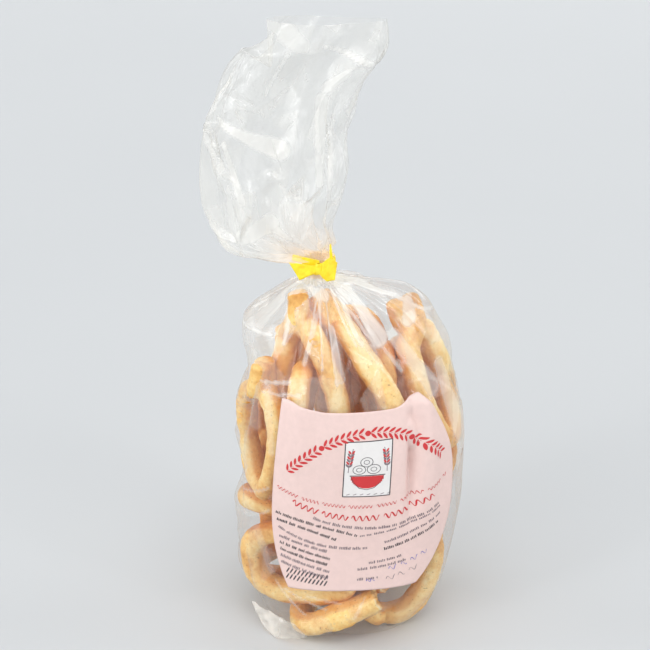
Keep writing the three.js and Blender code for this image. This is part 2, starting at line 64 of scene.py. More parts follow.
# Sections of the bag from base to rim, as in the part's solids
SECTION_NAMES = ("x", "z", "tilt", "left", "right", "front", "back", "square", "rise")
SECTIONS = np.array([
    (0, 0, 0, 49, 38, 39, 36, 2.5, 0),
    (0, 4, 0, 54, 43, 44, 41, 2.5, 0),
    (0, 15, 0, 59, 49, 49, 45, 2.5, 0),
    (0, 35, 0, 62, 55, 51, 48, 2.4, 0),
    (0, 60, 0, 63, 61, 51, 49, 2.3, 0),
    (0, 90, 0, 65, 66, 52, 51, 2.2, 0),
    (0, 120, 0, 64, 66, 52, 51, 2.2, 0),
    (0, 150, 0, 62, 60, 49, 47, 2.2, 0),
    (-2, 172, 0, 60, 57, 40, 40, 2.2, 15),
    (-5, 185, 0, 56, 53, 32, 30, 2.2, 30),
    (-10, 197, 0, 36, 50, 23, 20, 2.1, 45),
    (-14, 204, 0, 23, 44, 15, 12, 2.0, 60),
    (NECK_X, NECK_LOW_Z, 0, NECK_RADIUS, NECK_RADIUS, NECK_RADIUS, NECK_RADIUS, 2, 0),
    (NECK_X, NECK_HIGH_Z, 0, NECK_RADIUS, NECK_RADIUS, NECK_RADIUS, NECK_RADIUS, 2, 0),
    (-28, 223, 7, 20, 15, 11, 11, 2, 0),
    (-39, 229, 5, 27, 27, 15, 15, 2, 0),
    (-43, 244, 1, 31, 29, 18, 18, 2, 0),
    (-43, 262, 0, 34, 34, 20, 20, 2, 0),
    (-41, 281, 0, 36, 35, 20, 20, 2, 0),
    (-38, 300, 0, 38, 34, 19, 19, 2, 0),
    (-31, 320, 1, 41, 31, 16, 16, 2, 0),
    (-23, 340, 1, 38, 37, 11, 11, 2, 0),
    (-14.5, 355, 1, 33, 31, 7, 7, 2, 0),
])
LAST_PLACE = len(SECTIONS) - 1

# Folds: how many, how deep, the section about which they are deepest, their fade and their turn
FOLDS = [(12, 0.1, 12.5, 1.7, 10), (7, 0.1, 16, 2.4, 40), (5, 0.11, 19.5, 2.6, 75)]

# Ring biscuits, as in the part's solids. One with a pinch has the ends of its dough rope crossed to
# a knob, one with a gap is broken open, and the others have their ends lapped.
RINGS = [
    dict(top=(-33, -14, 198), foot=(-20, -29, 122), turn=-46, width=58, rope=13, free=0.2, pinch=60),
    dict(top=(-16, -4, 197), foot=(31, -31, 124), turn=-66, width=44, rope=13, free=0.2, pinch=62),
    dict(top=(3, 2, 156), foot=(0, 0, 80), turn=84, width=44, rope=13.5, free=0.5),
    dict(top=(22, -6, 167), foot=(38, -24, 92), turn=70, width=44, rope=12.5, free=0.4),
    dict(top=(28, -2, 193), foot=(54, -4, 114), turn=66, width=48, rope=13.5, free=0.15, pinch=50),
    dict(top=(-51, -10, 159), foot=(-52, -16, 84), turn=-50, width=49, rope=12, free=0.15, pinch=30),
    dict(top=(-31, -31, 165), foot=(-34, -30, 88), turn=-78, width=42, rope=12.5, free=0.2),
    dict(top=(58, 12, 96), foot=(54, 4, 20), turn=72, width=46, rope=13, free=0.06),
    dict(top=(46, -18, 58), foot=(18, -38, 9), turn=8, width=50, rope=13, free=0.1),
    dict(top=(-54, -20, 40), foot=(6, -42, 36), turn=-12, width=53, rope=13.5, free=0.15),
    dict(top=(24, -28, 38), foot=(-30, -25, 9), turn=88, width=43, rope=14, free=0.1, gap=56),
    dict(top=(-57, 4, 66), foot=(8, -8, 64), turn=88, width=46, rope=13, free=0.6),
    dict(top=(-32, 26, 162), foot=(-42, 34, 88), turn=150, width=46, rope=13, free=1, pinch=40),
    dict(top=(2, 28, 172), foot=(0, 38, 96), turn=176, width=46, rope=13, free=1),
    dict(top=(30, 26, 170), foot=(42, 28, 96), turn=160, width=46, rope=13.5, free=1, pinch=40),
    dict(top=(-20, 36, 86), foot=(-22, 32, 10), turn=176, width=48, rope=13, free=1, pinch=40),
    dict(top=(28, 34, 84), foot=(28, 30, 9), turn=172, width=48, rope=13, free=1),
    dict(top=(-50, 20, 118), foot=(-48, 18, 36), turn=-110, width=46, rope=13, free=0.4, pinch=40),
    dict(top=(-54, 8, 26), foot=(18, 10, 22), turn=80, width=44, rope=13, free=0.5),
]
PALE_KNOBS = {4: 0.3, 5: 0.16}  # by a ring's place in the list: how much less its knob is browned
STOUT_ROPES = {12: 1.1, 13: 1.07}  # and how much fuller its rope is than in the solids
RING_STEPS = 28
RING_SQUARE = 2.5
RING_WARP = 2
PINCH_SHARE = 0.8
RING_SPREAD = 1500
SETTLE_ROUNDS = 160
HOMING_ROUNDS = 120
HOMING = 0.03
SETTLE_GAP = 0.4
LARGEST_SPIN = 0.05
STEP_SHARE = 0.5
WALL_SHARE = 0.25
BULGE = 2
LABEL_BULGE = -0.5
SHOULDER_BULGE = 7
SHOULDER_LOW_Z = 150
SHOULDER_HIGH_Z = 170
HEEL = 1.2
CEILING_Z = 200

# The label, as in the part's solids
LABEL_TURN = 7
LABEL_MIDDLE_Z = 95.5
LABEL_LEAN = 3
LABEL_RISE = 2
LABEL_HALF_HEIGHT = 55.5
LABEL_LEFT = dict(width=52, top=0.93, bottom=0.75)
LABEL_RIGHT = dict(width=56, top=0.54, bottom=0.6)
LABEL_BOW = 2.4
LABEL_CORNER_RISE = 5
LABEL_ZONE = 1.1
LABEL_ZONE_EDGE = 1.54
LABEL_ZONE_RISE = 12


# Numbers and noise

def smoothstep(value, low, high):
    """0 at low, 1 at high, and an even curve between."""
    t = np.clip((value - low) / (high - low), 0, 1)
    return t * t * (3 - 2 * t)


def unit(vectors):
    """Vectors at a length of 1."""
    return vectors / np.maximum(np.linalg.norm(vectors, axis=-1, keepdims=True), 1e-9)


def triangle_wave(turns):
    """A zigzag from -1 to 1, once for each whole turn."""
    return 4 * np.abs(turns - np.floor(turns + 0.5)) - 1


def lattice(cell, seed):
    """A repeatable random value from -1 to 1 for each whole-number cell."""
    x, y, z = (cell[..., k].astype(np.int64) for k in range(3))
    n = (x * 374761393 + y * 668265263 + z * 1440662683 + seed * 974634777) & 0xFFFFFFFF
    n = ((n ^ (n >> 13)) * 1274126177) & 0xFFFFFFFF
    n = n ^ (n >> 16)
    return n / 0x7FFFFFFF - 1.0


def noise(points, size, seed=0):
    """Smooth noise from -1 to 1 with lumps of about the given size."""
    scaled = np.asarray(points, float) / size
    cell = np.floor(scaled).astype(np.int64)
    share = scaled - cell
    share = share * share * (3 - 2 * share)
    total = np.zeros(scaled.shape[:-1])
    for corner in itertools.product((0, 1), repeat=3):
        weight = np.prod(np.where(corner, share, 1 - share), axis=-1)
        total += weight * lattice(cell + np.array(corner), seed)
    return total


def turned(vectors, axis, angle):
    """Vectors turned about a unit axis."""
    along = (vectors @ axis)[..., None] * axis
    return along + (vectors - along) * math.cos(angle) + np.cross(axis, vectors) * math.sin(angle)


def lengths_along(line):
    """Distance along a line from its first point to each of its points."""
    return np.concatenate([[0], np.cumsum(np.linalg.norm(np.diff(line, axis=0), axis=1))])


def spots_at(line, length, distances):
    """Points of a line at distances along it, from the lengths along it."""
    return np.stack([np.interp(distances, length, line[:, k]) for k in range(line.shape[1])], -1)


def four_beside(grid):
    """Sum of each grid value's four neighbours. Columns close on themselves, rows end."""
    above = np.concatenate([grid[1:], grid[-1:]])
    below = np.concatenate([grid[:1], grid[:-1]])
    return np.roll(grid, 1, 1) + np.roll(grid, -1, 1) + above + below


# The plain bag

def section_table():
    """Slopes at each section, held to the smaller side step."""
    step = np.diff(SECTIONS, axis=0)
    slopes = np.zeros_like(SECTIONS)
    before, after = step[:-1], step[1:]
    same_way = before * after > 0
    safe = np.where(same_way, before + after, 1)
    slopes[1:-1] = np.where(same_way, 2 * before * after / safe, 0)
    return slopes


SLOPES = section_table()


def section_at(place):
    """The named values of the bag's sections at places along it, as arrays."""
    place = np.asarray(place, float)
    i = np.clip(np.floor(place).astype(int), 0, LAST_PLACE - 1)
    t = (place - i)[..., None]
    t2, t3 = t ** 2, t ** 3
    value = (2 * t3 - 3 * t2 + 1) * SECTIONS[i] + (3 * t2 - 2 * t3) * SECTIONS[i + 1]
    value = value + (t3 - 2 * t2 + t) * SLOPES[i] + (t3 - t2) * SLOPES[i + 1]
    return {name: value[..., k] for k, name in enumerate(SECTION_NAMES)}


DENSE_PLACES = np.linspace(0, NECK_PLACE, 4801)
DENSE_HEIGHTS = section_at(DENSE_PLACES)["z"]


def place_of_height(z):
    """The place along the bag of a height of its filled part."""
    return np.interp(z, DENSE_HEIGHTS, DENSE_PLACES)


def reach(section, angle):
    """Distance from a section's middle to its plain outline, by angle (0 is right, 90 back)."""
    c, s = np.cos(angle), np.sin(angle)
    side = np.where(c < 0, section["left"], section["right"])
    depth = np.where(s < 0, section["front"], section["back"])
    n = section["square"]
    return (np.abs(c / side) ** n + np.abs(s / depth) ** n) ** (-1 / n)


def direction(section, angle):
    """The way out from a section's middle, by angle."""
    tilt = np.radians(section["tilt"])
    across = np.cos(angle)
    return np.stack(np.broadcast_arrays(across * np.cos(tilt), np.sin(angle), across * np.sin(tilt)), -1)


def fold_factor(place, angle):
    """How the long folds of the gathered film widen and narrow it."""
    factor = 1
    for count, depth, about, fade, turn in FOLDS:
        share = np.exp(-(((place - about) / fade) ** 2))
        factor = factor + depth * share * np.cos(count * (angle - math.radians(turn)))
    return factor


def from_label(angle):
    """Angle away from the label's middle, signed: more to the right."""
    away = angle + math.pi / 2 - math.radians(LABEL_TURN)
    return np.arctan2(np.sin(away), np.cos(away))


def away_from_label(z, angle):
    """How free the film is from the label: 0 on it, 1 well away from it."""
    top = LABEL_MIDDLE_Z + LABEL_HALF_HEIGHT
    above = smoothstep(z, top, top + LABEL_ZONE_RISE)
    return np.maximum(above, smoothstep(np.abs(from_label(angle)), LABEL_ZONE, LABEL_ZONE_EDGE))


def taut_factor(z, angle):
    """How the film draws in between the biscuits where no label holds it out."""
    low = smoothstep(z, TAUT_LOW_Z - TAUT_FADE, TAUT_LOW_Z)
    high = 1 - smoothstep(z, TAUT_HIGH_Z, TAUT_HIGH_Z + TAUT_FADE)
    return 1 - TAUT * low * high * away_from_label(z, angle)


# The ring biscuits settle against each other and the bag

def outline(ring, turn):
    """A ring's centreline in its own axes: along it, to its side and out of its face."""
    c, s = np.cos(turn), np.sin(turn)
    along = np.sign(c) * np.abs(c) ** (2 / RING_SQUARE) * ring["length"] / 2
    aside = np.sign(s) * np.abs(s) ** (2 / RING_SQUARE) * (ring["width"] - ring["rope"]) / 2
    if ring.get("pinch"):
        aside *= 1 - PINCH_SHARE * np.clip((along - ring["length"] / 2) / ring["pinch"] + 1, 0, 1)
    return np.stack([along, aside, ring["warp"] * np.sin(2 * turn)], -1)


def lay_ring(index, ring):
    """A ring's middle, its axes and its centreline before it settles."""
    top, foot = np.array(ring["top"], float), np.array(ring["foot"], float)
    length = np.linalg.norm(top - foot)
    along = (top - foot) / length
    front = np.array([0.0, -1.0, 0.0])
    face = turned(unit(front - along * (front @ along)), along, math.radians(ring["turn"]))
    gap = math.radians(ring.get("gap", 0))
    turn = np.linspace(gap, 2 * math.pi - gap, RING_STEPS, endpoint=bool(gap))
    middle = (top + foot) / 2
    axes = np.array([along, np.cross(face, along), face])
    joint = "knob" if "pinch" in ring else "none" if "gap" in ring else "lap"
    laid = dict(ring, joint=joint, length=length, warp=RING_WARP * (1 if index % 2 else -1))
    laid.update(pale=PALE_KNOBS.get(index, 0), stout=STOUT_ROPES.get(index, 1))
    return dict(laid, middle=middle, home=middle.copy(), axes=axes, local=outline(laid, turn))


def separate(one, two, apart, points):
    """Pushes two rings apart where they are nearest, the freer one further."""
    k = np.unravel_index(apart.argmin(), apart.shape)
    short = (one["rope"] + two["rope"]) / 2 + SETTLE_GAP - apart[k]
    if short <= 0:
        return
    p, q = points[0][k[0]], points[1][k[1]]
    by = (p - q) / max(apart[k], 1e-6) * short
    share = one["free"] / (one["free"] + two["free"])
    for ring, at, move in ((one, p, by * share), (two, q, by * (share - 1))):
        ring["move"] += move
        ring["spin"] += np.cross(at - ring["middle"], move)


def wall_push(points, rope, heights):
    """How the bag's wall, base and neck push back the points of ropes that reach past them."""
    level = np.clip(np.rint(points[..., 2]), 0, NECK_LOW_Z).astype(int)
    row = {name: values[level] for name, values in heights.items()}
    flat = points * (1, 1, 0) - np.stack([row["x"], 0 * row["x"], 0 * row["x"]], -1)
    angle = np.arctan2(flat[..., 1], flat[..., 0])
    behind = (np.abs(from_label(angle)) < LABEL_ZONE) & (
        np.abs(points[..., 2] - LABEL_MIDDLE_Z) < LABEL_HALF_HEIGHT
    )
    shoulder = SHOULDER_BULGE * smoothstep(points[..., 2], SHOULDER_LOW_Z, SHOULDER_HIGH_Z)
    bulge = np.where(behind, LABEL_BULGE, BULGE + shoulder)
    over = np.linalg.norm(flat, axis=-1) - (reach(row, angle) + bulge - rope / 2 - FILM_GAP)
    push = -unit(flat) * np.maximum(over, 0)[..., None]
    push[..., 2] += np.maximum(rope / 2 + HEEL - points[..., 2], 0)
    push[..., 2] -= np.maximum(points[..., 2] - CEILING_Z, 0)
    return push * WALL_SHARE


def settle(rings):
    """Moves the rings apart and back inside the bag, a little each round."""
    heights = section_at(place_of_height(np.arange(NECK_LOW_Z + 1)))
    ropes = np.array([ring["rope"] for ring in rings], float)[:, None]
    pairs = list(itertools.combinations(range(len(rings)), 2))
    for turn in range(SETTLE_ROUNDS):
        points = np.array([ring["local"] @ ring["axes"] + ring["middle"] for ring in rings])
        flat = points.reshape(-1, 3)
        apart = np.sqrt(np.maximum(((flat[:, None] - flat[None]) ** 2).sum(-1), 0))
        apart = apart.reshape(len(rings), RING_STEPS, len(rings), RING_STEPS)
        for ring in rings:
            ring["move"], ring["spin"] = np.zeros(3), np.zeros(3)
        for i, j in pairs:
            separate(rings[i], rings[j], apart[i, :, j, :], (points[i], points[j]))
        wall = wall_push(points, ropes, heights)
        for ring, push, place in zip(rings, wall, points):
            move = ring["move"] + push.sum(0)
            spin = ring["spin"] + np.cross(place - ring["middle"], push).sum(0)
            back = (ring["home"] - ring["middle"]) * (HOMING if turn < HOMING_ROUNDS else 0)
            ring["middle"] = ring["middle"] + move * STEP_SHARE + back
            size = np.linalg.norm(spin)
            if size > 0:
                angle = min(size * STEP_SHARE / RING_SPREAD, LARGEST_SPIN)
                ring["axes"] = turned(ring["axes"], spin / size, angle)
    return rings


def rope_spheres(rings):
    """Spheres along the settled ropes: their centres, and their radii with the film's gap."""
    centres, radii = [], []
    for ring in rings:
        line = ring["local"] @ ring["axes"] + ring["middle"]
        between = (9 * (line + np.roll(line, -1, 0)) - np.roll(line, 1, 0) - np.roll(line, -2, 0)) / 16
        if ring.get("gap"):
            between = between[1:-2]
        both = np.concatenate([line, between])
        centres.append(both)
        radii.append(np.full(len(both), ring["rope"] / 2 + FILM_GAP))
    return np.concatenate(centres), np.concatenate(radii)


# Meshes

def linked(name, data):
    """A new object in the scene."""
    piece = bpy.data.objects.new(name, data)
    bpy.context.scene.collection.objects.link(piece)
    return piece


def mesh_piece(name, points, faces, material):
    """A smooth mesh object from points in millimetres. It rides on the part's one body."""
    mesh = bpy.data.meshes.new(name)
    mesh.from_pydata((np.asarray(points) * MM).tolist(), [], [tuple(int(k) for k in f) for f in faces])
    mesh.update()
    mesh.shade_smooth()
    piece = linked(name, mesh)
    mesh.materials.append(material)
    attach(piece, "root")
    return piece


def grid_faces(rows, columns, closed):
    """Quads of a grid of points, row by row, facing out where rows go up and columns to the left."""
    j, i = np.meshgrid(np.arange(rows - 1), np.arange(columns if closed else columns - 1), indexing="ij")
    after = (i + 1) % columns
    return np.stack(
        [j * columns + i, j * columns + after, (j + 1) * columns + after, (j + 1) * columns + i], -1
    ).reshape(-1, 4)


def grid_normals(grid, closed):
    """Unit normals of a grid of points."""
    if closed:
        across = np.roll(grid, -1, 1) - np.roll(grid, 1, 1)
    else:
        across = np.gradient(grid, axis=1)
    return unit(np.cross(across, np.gradient(grid, axis=0)))


def closed_sheet(name, front, back, material):
    """A thin closed sheet between two grids of points."""
    rows, columns = front.shape[:2]
    count = rows * columns
    index = np.arange(count).reshape(rows, columns)
    side = grid_faces(rows, columns, False)
    edge = np.concatenate([index[0, :-1], index[:-1, -1], index[-1, :0:-1], index[:0:-1, 0]])
    after = np.roll(edge, -1)
    rim = np.stack([edge, edge + count, after + count, after], -1)
    faces = np.concatenate([side, side[:, ::-1] + count, rim])
    points = np.concatenate([front.reshape(-1, 3), back.reshape(-1, 3)])
    return mesh_piece(name, points, faces, material)


def sheet_piece(name, grid, material, thickness):
    """A closed sheet from a grid of points to its thickness behind them."""
    return closed_sheet(name, grid, grid - grid_normals(grid, False) * thickness, material)


def set_values(piece, name, values):
    """A named number at each vertex, for the material."""
    attribute = piece.data.attributes.new(name, "FLOAT", "POINT")
    attribute.data.foreach_set("value", np.asarray(values, np.float32))


# Node helpers

def new_material(name):
    """A material with an empty node tree."""
    material = bpy.data.materials.new(name)
    material.use_nodes = True
    material.node_tree.nodes.clear()
    return material, material.node_tree


def add(tree, kind, inputs=None, **settings):
    """A node with its settings, and its inputs by name: a value, or another node's output."""
    node = tree.nodes.new(kind)
    for key, value in settings.items():
        setattr(node, key, value)
    for key, value in (inputs or {}).items():
        if isinstance(value, bpy.types.NodeSocket):
            tree.links.new(value, node.inputs[key])
        else:
            node.inputs[key].default_value = value
    return node


def finish_material(tree, shader):
    """Gives the material its surface, from a shader node."""
    add(tree, "ShaderNodeOutputMaterial", {"Surface": shader.outputs[0]})


def ramp(tree, value, stops):
    """A colour ramp through stops of (place, red, green, blue)."""
    node = add(tree, "ShaderNodeValToRGB", {"Fac": value})
    elements = node.color_ramp.elements
    while len(elements) < len(stops):
        elements.new(0.5)
    for element, (place, *colour) in zip(elements, stops):
        element.position = place
        element.color = (*colour, 1)
    return node.outputs["Color"]


def noise_node(tree, place, scale, detail=3, roughness=0.5):
    """Noise over the object, with scale in lumps per metre."""
    inputs = {"Vector": place, "Scale": scale, "Detail": detail, "Roughness": roughness}
    return add(tree, "ShaderNodeTexNoise", inputs).outputs["Fac"]


def maths(tree, operation, *values):
    """The result of one math node."""
    node = add(tree, "ShaderNodeMath", dict(enumerate(values)), operation=operation)
    return node.outputs[0]


def value_of(tree, name):
    """The value that set_values left at each point."""
    return add(tree, "ShaderNodeAttribute", attribute_name=name).outputs["Fac"]


def object_place(tree):
    """The place on the object that a texture is laid out by."""
    return add(tree, "ShaderNodeTexCoord").outputs["Object"]


def mixed(tree, share, colour, other, blend="MIX"):
    """Two colours mixed, or one multiplied by the other."""
    inputs = {"Factor": share, "A": colour, "B": other}
    return add(tree, "ShaderNodeMix", inputs, data_type="RGBA", blend_type=blend).outputs[2]


def bump(tree, height, strength, distance, normal=None):
    """A normal roughened by a height, over another bump's normal if there is one."""
    inputs = {"Height": height, "Strength": strength, "Distance": distance}
    if normal is not None:
        inputs["Normal"] = normal
    return add(tree, "ShaderNodeBump", inputs).outputs["Normal"]


# Materials

SPECK_COLOUR = (0.25, 0.10, 0.03, 1)
CRUMB_COLOUR = (0.90, 0.78, 0.50, 1)
# Painted shade between biscuits: the crust's colour is multiplied towards this where other biscuits close
# in.
PAINTED_SHADE_COLOUR = (0.86, 0.58, 0.33, 1)  # of the light that reaches a spot between biscuits
INK_COLOURS = dict(
    red=(0.62, 0.045, 0.05),
    dark=(0.045, 0.042, 0.05),
    grey=(0.22, 0.17, 0.19),
    blue=(0.22, 0.20, 0.52),
    white=(0.80, 0.78, 0.77),
)
PAPER_COLOUR = (0.81, 0.615, 0.575)


def biscuit_material():
    """Boiled and baked dough: pale gold, browner and pale with crumb where the attributes say, darker with
    painted shade where other biscuits close in, finely specked.
    """
    material, tree = new_material("biscuit")
    place = object_place(tree)
    mottle = noise_node(tree, place, 420, 5, 0.68)
    shade = maths(tree, "ADD", value_of(tree, "brown"), maths(tree, "SUBTRACT", mottle, 0.5))
    crust = ramp(tree, shade, [
        (0.0, 0.96, 0.77, 0.40),
        (0.35, 0.91, 0.63, 0.25),
        (0.65, 0.82, 0.47, 0.15),
        (1.0, 0.64, 0.30, 0.08),
    ])
    speck = noise_node(tree, place, 900, 1, 0.4)
    speck = maths(tree, "MULTIPLY", maths(tree, "GREATER_THAN", speck, 0.715), 0.55)
    speckled = mixed(tree, speck, crust, SPECK_COLOUR)
    torn = mixed(tree, value_of(tree, "crumb"), speckled, CRUMB_COLOUR)
    # Painted shade: the crust darkens where other biscuits close in, as shade between them would.
    shaded_crust = mixed(tree, value_of(tree, "painted_shade"), torn, PAINTED_SHADE_COLOUR, "MULTIPLY")
    rough = maths(tree, "MULTIPLY_ADD", mottle, 0.2, 0.5)
    fine = noise_node(tree, place, 1500, 4, 0.7)
    broad = noise_node(tree, place, 350, 3, 0.6)
    normal = bump(tree, fine, 0.45, 0.0005, bump(tree, broad, 0.4, 0.001))
    shader = add(tree, "ShaderNodeBsdfPrincipled", {
        "Base Color": shaded_crust, "Roughness": rough, "Normal": normal, "Specular IOR Level": 0.22,
    })
    finish_material(tree, shader)
    return material


def film_material():
    """Clear crisp film: see-through, with the gloss of its two faces, and milky where its haze is and where
    painted glints of the lights stand.
    """
    material, tree = new_material("film")
    facing = add(tree, "ShaderNodeLayerWeight", {"Blend": 0.5}).outputs["Facing"]
    edge = maths(tree, "POWER", facing, 3.5)
    gloss = maths(tree, "MULTIPLY_ADD", edge, 0.4, 0.052)
    # The milky share: the film's real haze, its edges seen side-on, and painted glints of the lights.
    haze_and_glint_share = maths(tree, "MULTIPLY_ADD", edge, 0.22, value_of(tree, "haze_and_painted_glint"))
    clear = add(tree, "ShaderNodeBsdfTransparent", {"Color": (0.985, 0.985, 0.98, 1)})
    milky = ramp(tree, value_of(tree, "blush"), [(0.0, 0.85, 0.84, 0.80), (1.0, 0.90, 0.70, 0.50)])
    normal = bump(tree, noise_node(tree, object_place(tree), 170, 2, 0.5), 0.07, 0.001)
    milk_and_painted_glint = add(tree, "ShaderNodeBsdfDiffuse", {"Color": milky, "Normal": normal})
    body = add(tree, "ShaderNodeMixShader", {"Fac": haze_and_glint_share, 1: clear.outputs[0], 2: milk_and_painted_glint.outputs[0]})
    shine = add(tree, "ShaderNodeBsdfAnisotropic", {"Roughness": 0.19, "Normal": normal})
    shader = add(tree, "ShaderNodeMixShader", {"Fac": gloss, 1: body.outputs[0], 2: shine.outputs[0]})
    finish_material(tree, shader)
    return material


def paper_material(name, colour, mottle=0.03):
    """Thin uncoated paper or ink on it: a faint cloudiness of colour and a fine tooth."""
    material, tree = new_material(name)
    place = object_place(tree)
    cloud = noise_node(tree, place, 260, 3, 0.6)
    light = [min(c * (1 + mottle), 1) for c in colour]
    deep = [c * (1 - mottle) for c in colour]
    tone = ramp(tree, cloud, [(0.3, *deep), (0.7, *light)])
    tooth = noise_node(tree, place, 5200, 2, 0.6)
    shader = add(tree, "ShaderNodeBsdfPrincipled", {
        "Base Color": tone, "Roughness": 0.55, "Specular IOR Level": 0.3,
        "Normal": bump(tree, tooth, 0.08, 0.0001),
    })
    finish_material(tree, shader)
    return material


def tape_material():
    """Bright yellow plastic tape, deeper in colour in cloudy patches."""
    material, tree = new_material("tape")
    place = object_place(tree)
    cloud = noise_node(tree, place, 320, 2, 0.5)
    tone = ramp(tree, cloud, [(0.3, 0.97, 0.68, 0.010), (0.6, 1.0, 0.84, 0.035)])
    wrinkle = noise_node(tree, place, 900, 3, 0.5)
    shader = add(tree, "ShaderNodeBsdfPrincipled", {
        "Base Color": tone, "Roughness": 0.32, "Normal": bump(tree, wrinkle, 0.3, 0.0003),
    })
    finish_material(tree, shader)
    return material


def floor_material():
    """A pale surface with a hardly visible cloudiness."""
    material, tree = new_material("floor")
    place = object_place(tree)
    cloud = noise_node(tree, place, 3, 2, 0.5)
    tone = ramp(tree, cloud, [(0.2, 0.59, 0.61, 0.625), (0.8, 0.605, 0.625, 0.64)])
    shader = add(tree, "ShaderNodeBsdfPrincipled", {"Base Color": tone, "Roughness": 0.6})
    finish_material(tree, shader)
    return material


# Biscuits

KNOB_REACH = 13  # how far below its top a knob's two ends cross
# A knob's crossing end: how far below the ring's top, and how far aside and out in rope widths
KNOB_PATH = ((-2.5, -0.20, 0.20), (5, -0.18, 0.24), (KNOB_REACH, 0.04, 0.24))
KNOB_LEG = 0.45  # where the leg runs straight, as a share of the way from the crossing to the outline
KNOB_LEG_OUT = 0.12
KNOB_LINE_POINTS = 50
KNOB_TURN = 1.15  # where the plain outline starts again, as a turn from the top
BLUNTNESS = dict(knob=0.65, lap=0.3, none=0.95)  # of a rope's ends
LAP_TURN = 0.24  # where the ends of a lapped rope meet, as a turn from its foot
LAP_RISE = 0.27  # how far out of the ring's face each lapped end lies, in rope widths
LAP_SHARE = 0.16  # of the rope's length, over which its end comes out
LINE_POINTS = 60
CAP_SHARES = np.array([0.25, 0.55, 0.8, 0.95])  # of the rope's radius, where its end rounds off
END_FULLNESS = dict(knob=0.92, lap=0.84, none=1.04)
LINE_STEP = 1.6  # spacing of the points along a rope
CURVE_STEPS = 12  # between two of the points that a rope's curve is drawn through
UNEVEN_LONG = 0.07  # how uneven a rope is over long stretches, as a share of its thickness
UNEVEN_SHORT = 0.03
FULL_FROM = 16  # how far from its ends a rope has its full thickness
REMESH_SMOOTHING = 0.5
REMESH_PASSES = 4
ROPE_SIDES = 20
VOXEL = 0.85
RESTING_Z = 0.35  # the lowest biscuits' flat underside, on the film
SPHERE_SHARE = 0.45  # evens out that the spheres along a rope overlap
# Painted shade between the biscuits: where it starts and where it is darkest, by how closed in a spot is.
PAINTED_SHADE_RANGE = (0.15, 0.9)  # how closed in a spot is where it starts to darken, and where it is darkest


def smooth_line(points, step):
    """A Catmull-Rom curve through points, with even spacing."""
    padded = np.concatenate([2 * points[:1] - points[1:2], points, 2 * points[-1:] - points[-2:-1]])
    pieces = []
    t = np.linspace(0, 1, CURVE_STEPS, endpoint=False)[:, None]
    for a, b, c, d in zip(padded, padded[1:], padded[2:], padded[3:]):
        pieces.append(0.5 * (2 * b + (c - a) * t + (2 * a - 5 * b + 4 * c - d) * t ** 2
                             + (3 * b - a - 3 * c + d) * t ** 3))
    line = np.concatenate([*pieces, points[-1:]])
    length = lengths_along(line)
    return spots_at(line, length, np.linspace(0, length[-1], int(length[-1] / step) + 1))


def knob_ends(ring):
    """The crossing end of a rope at a knob, from its tip to where its leg runs straight."""
    rope, top = ring["rope"], ring["length"] / 2
    open_half = outline(ring, np.array([KNOB_TURN]))[0]
    crossing = np.array([top - KNOB_REACH, 0, 0])
    leg = crossing + (open_half - crossing) * KNOB_LEG
    path = [(top - below, aside * rope, out * rope) for below, aside, out in KNOB_PATH]
    return np.array([*path, (leg[0], leg[1], KNOB_LEG_OUT * rope)])


def rope_line(ring):
    """The visible rope's centreline in the ring's own axes."""
    rope = ring["rope"]
    gap = math.radians(ring.get("gap", 0))
    if ring["joint"] == "knob":
        ends = knob_ends(ring)
        middle = outline(ring, np.linspace(KNOB_TURN, 2 * math.pi - KNOB_TURN, KNOB_LINE_POINTS))
        line = np.concatenate([ends, middle, ends[::-1] * (1, -1, -1)])
    elif ring["joint"] == "lap":
        line = outline(ring, np.linspace(math.pi - LAP_TURN, -math.pi - LAP_TURN, LINE_POINTS))
        near = 1 - smoothstep(np.linspace(0, 1, LINE_POINTS), 0.0, LAP_SHARE)
        line[:, 2] += LAP_RISE * rope * (near - near[::-1])
    else:
        line = outline(ring, np.linspace(gap, 2 * math.pi - gap, LINE_POINTS))
    return smooth_line(line, LINE_STEP)


def line_frames(line):
    """Directions along a line, and two across it that turn as little as they can."""
    along = unit(np.gradient(line, axis=0))
    across = np.zeros_like(line)
    start = np.cross(along[0], (0.3, 0.1, 1.0))
    across[0] = start / np.linalg.norm(start)
    for k in range(1, len(line)):
        side = across[k - 1] - along[k] * (across[k - 1] @ along[k])
        across[k] = side / np.linalg.norm(side)
    return along, across, np.cross(along, across)


def tube(line, radii, bluntness):
    """Points and quads of a closed tube along a line. Bluntness is 0 for round ends, 1 for flat ones."""
    along, one, two = line_frames(line)
    drops = np.sqrt(1 - CAP_SHARES ** 2)[:, None] * (1 - bluntness)
    start = line[0] - along[0] * radii[0] * drops
    end = line[-1] + along[-1] * radii[-1] * drops[::-1]
    centres = np.concatenate([start, line, end])[:, None]
    sizes = np.concatenate([radii[0] * CAP_SHARES, radii, radii[-1] * CAP_SHARES[::-1]])[:, None, None]
    frames = np.clip(np.arange(len(centres)) - len(CAP_SHARES), 0, len(line) - 1)
    turn = np.linspace(0, 2 * math.pi, ROPE_SIDES, endpoint=False)[:, None]
    rings = centres + sizes * (np.cos(turn) * one[frames][:, None] + np.sin(turn) * two[frames][:, None])
    faces = [tuple(f) for f in grid_faces(len(rings), ROPE_SIDES, True)]
    last = (len(rings) - 1) * ROPE_SIDES
    faces.append(tuple(reversed(range(ROPE_SIDES))))
    faces.append(tuple(last + k for k in range(ROPE_SIDES)))
    return rings.reshape(-1, 3), faces


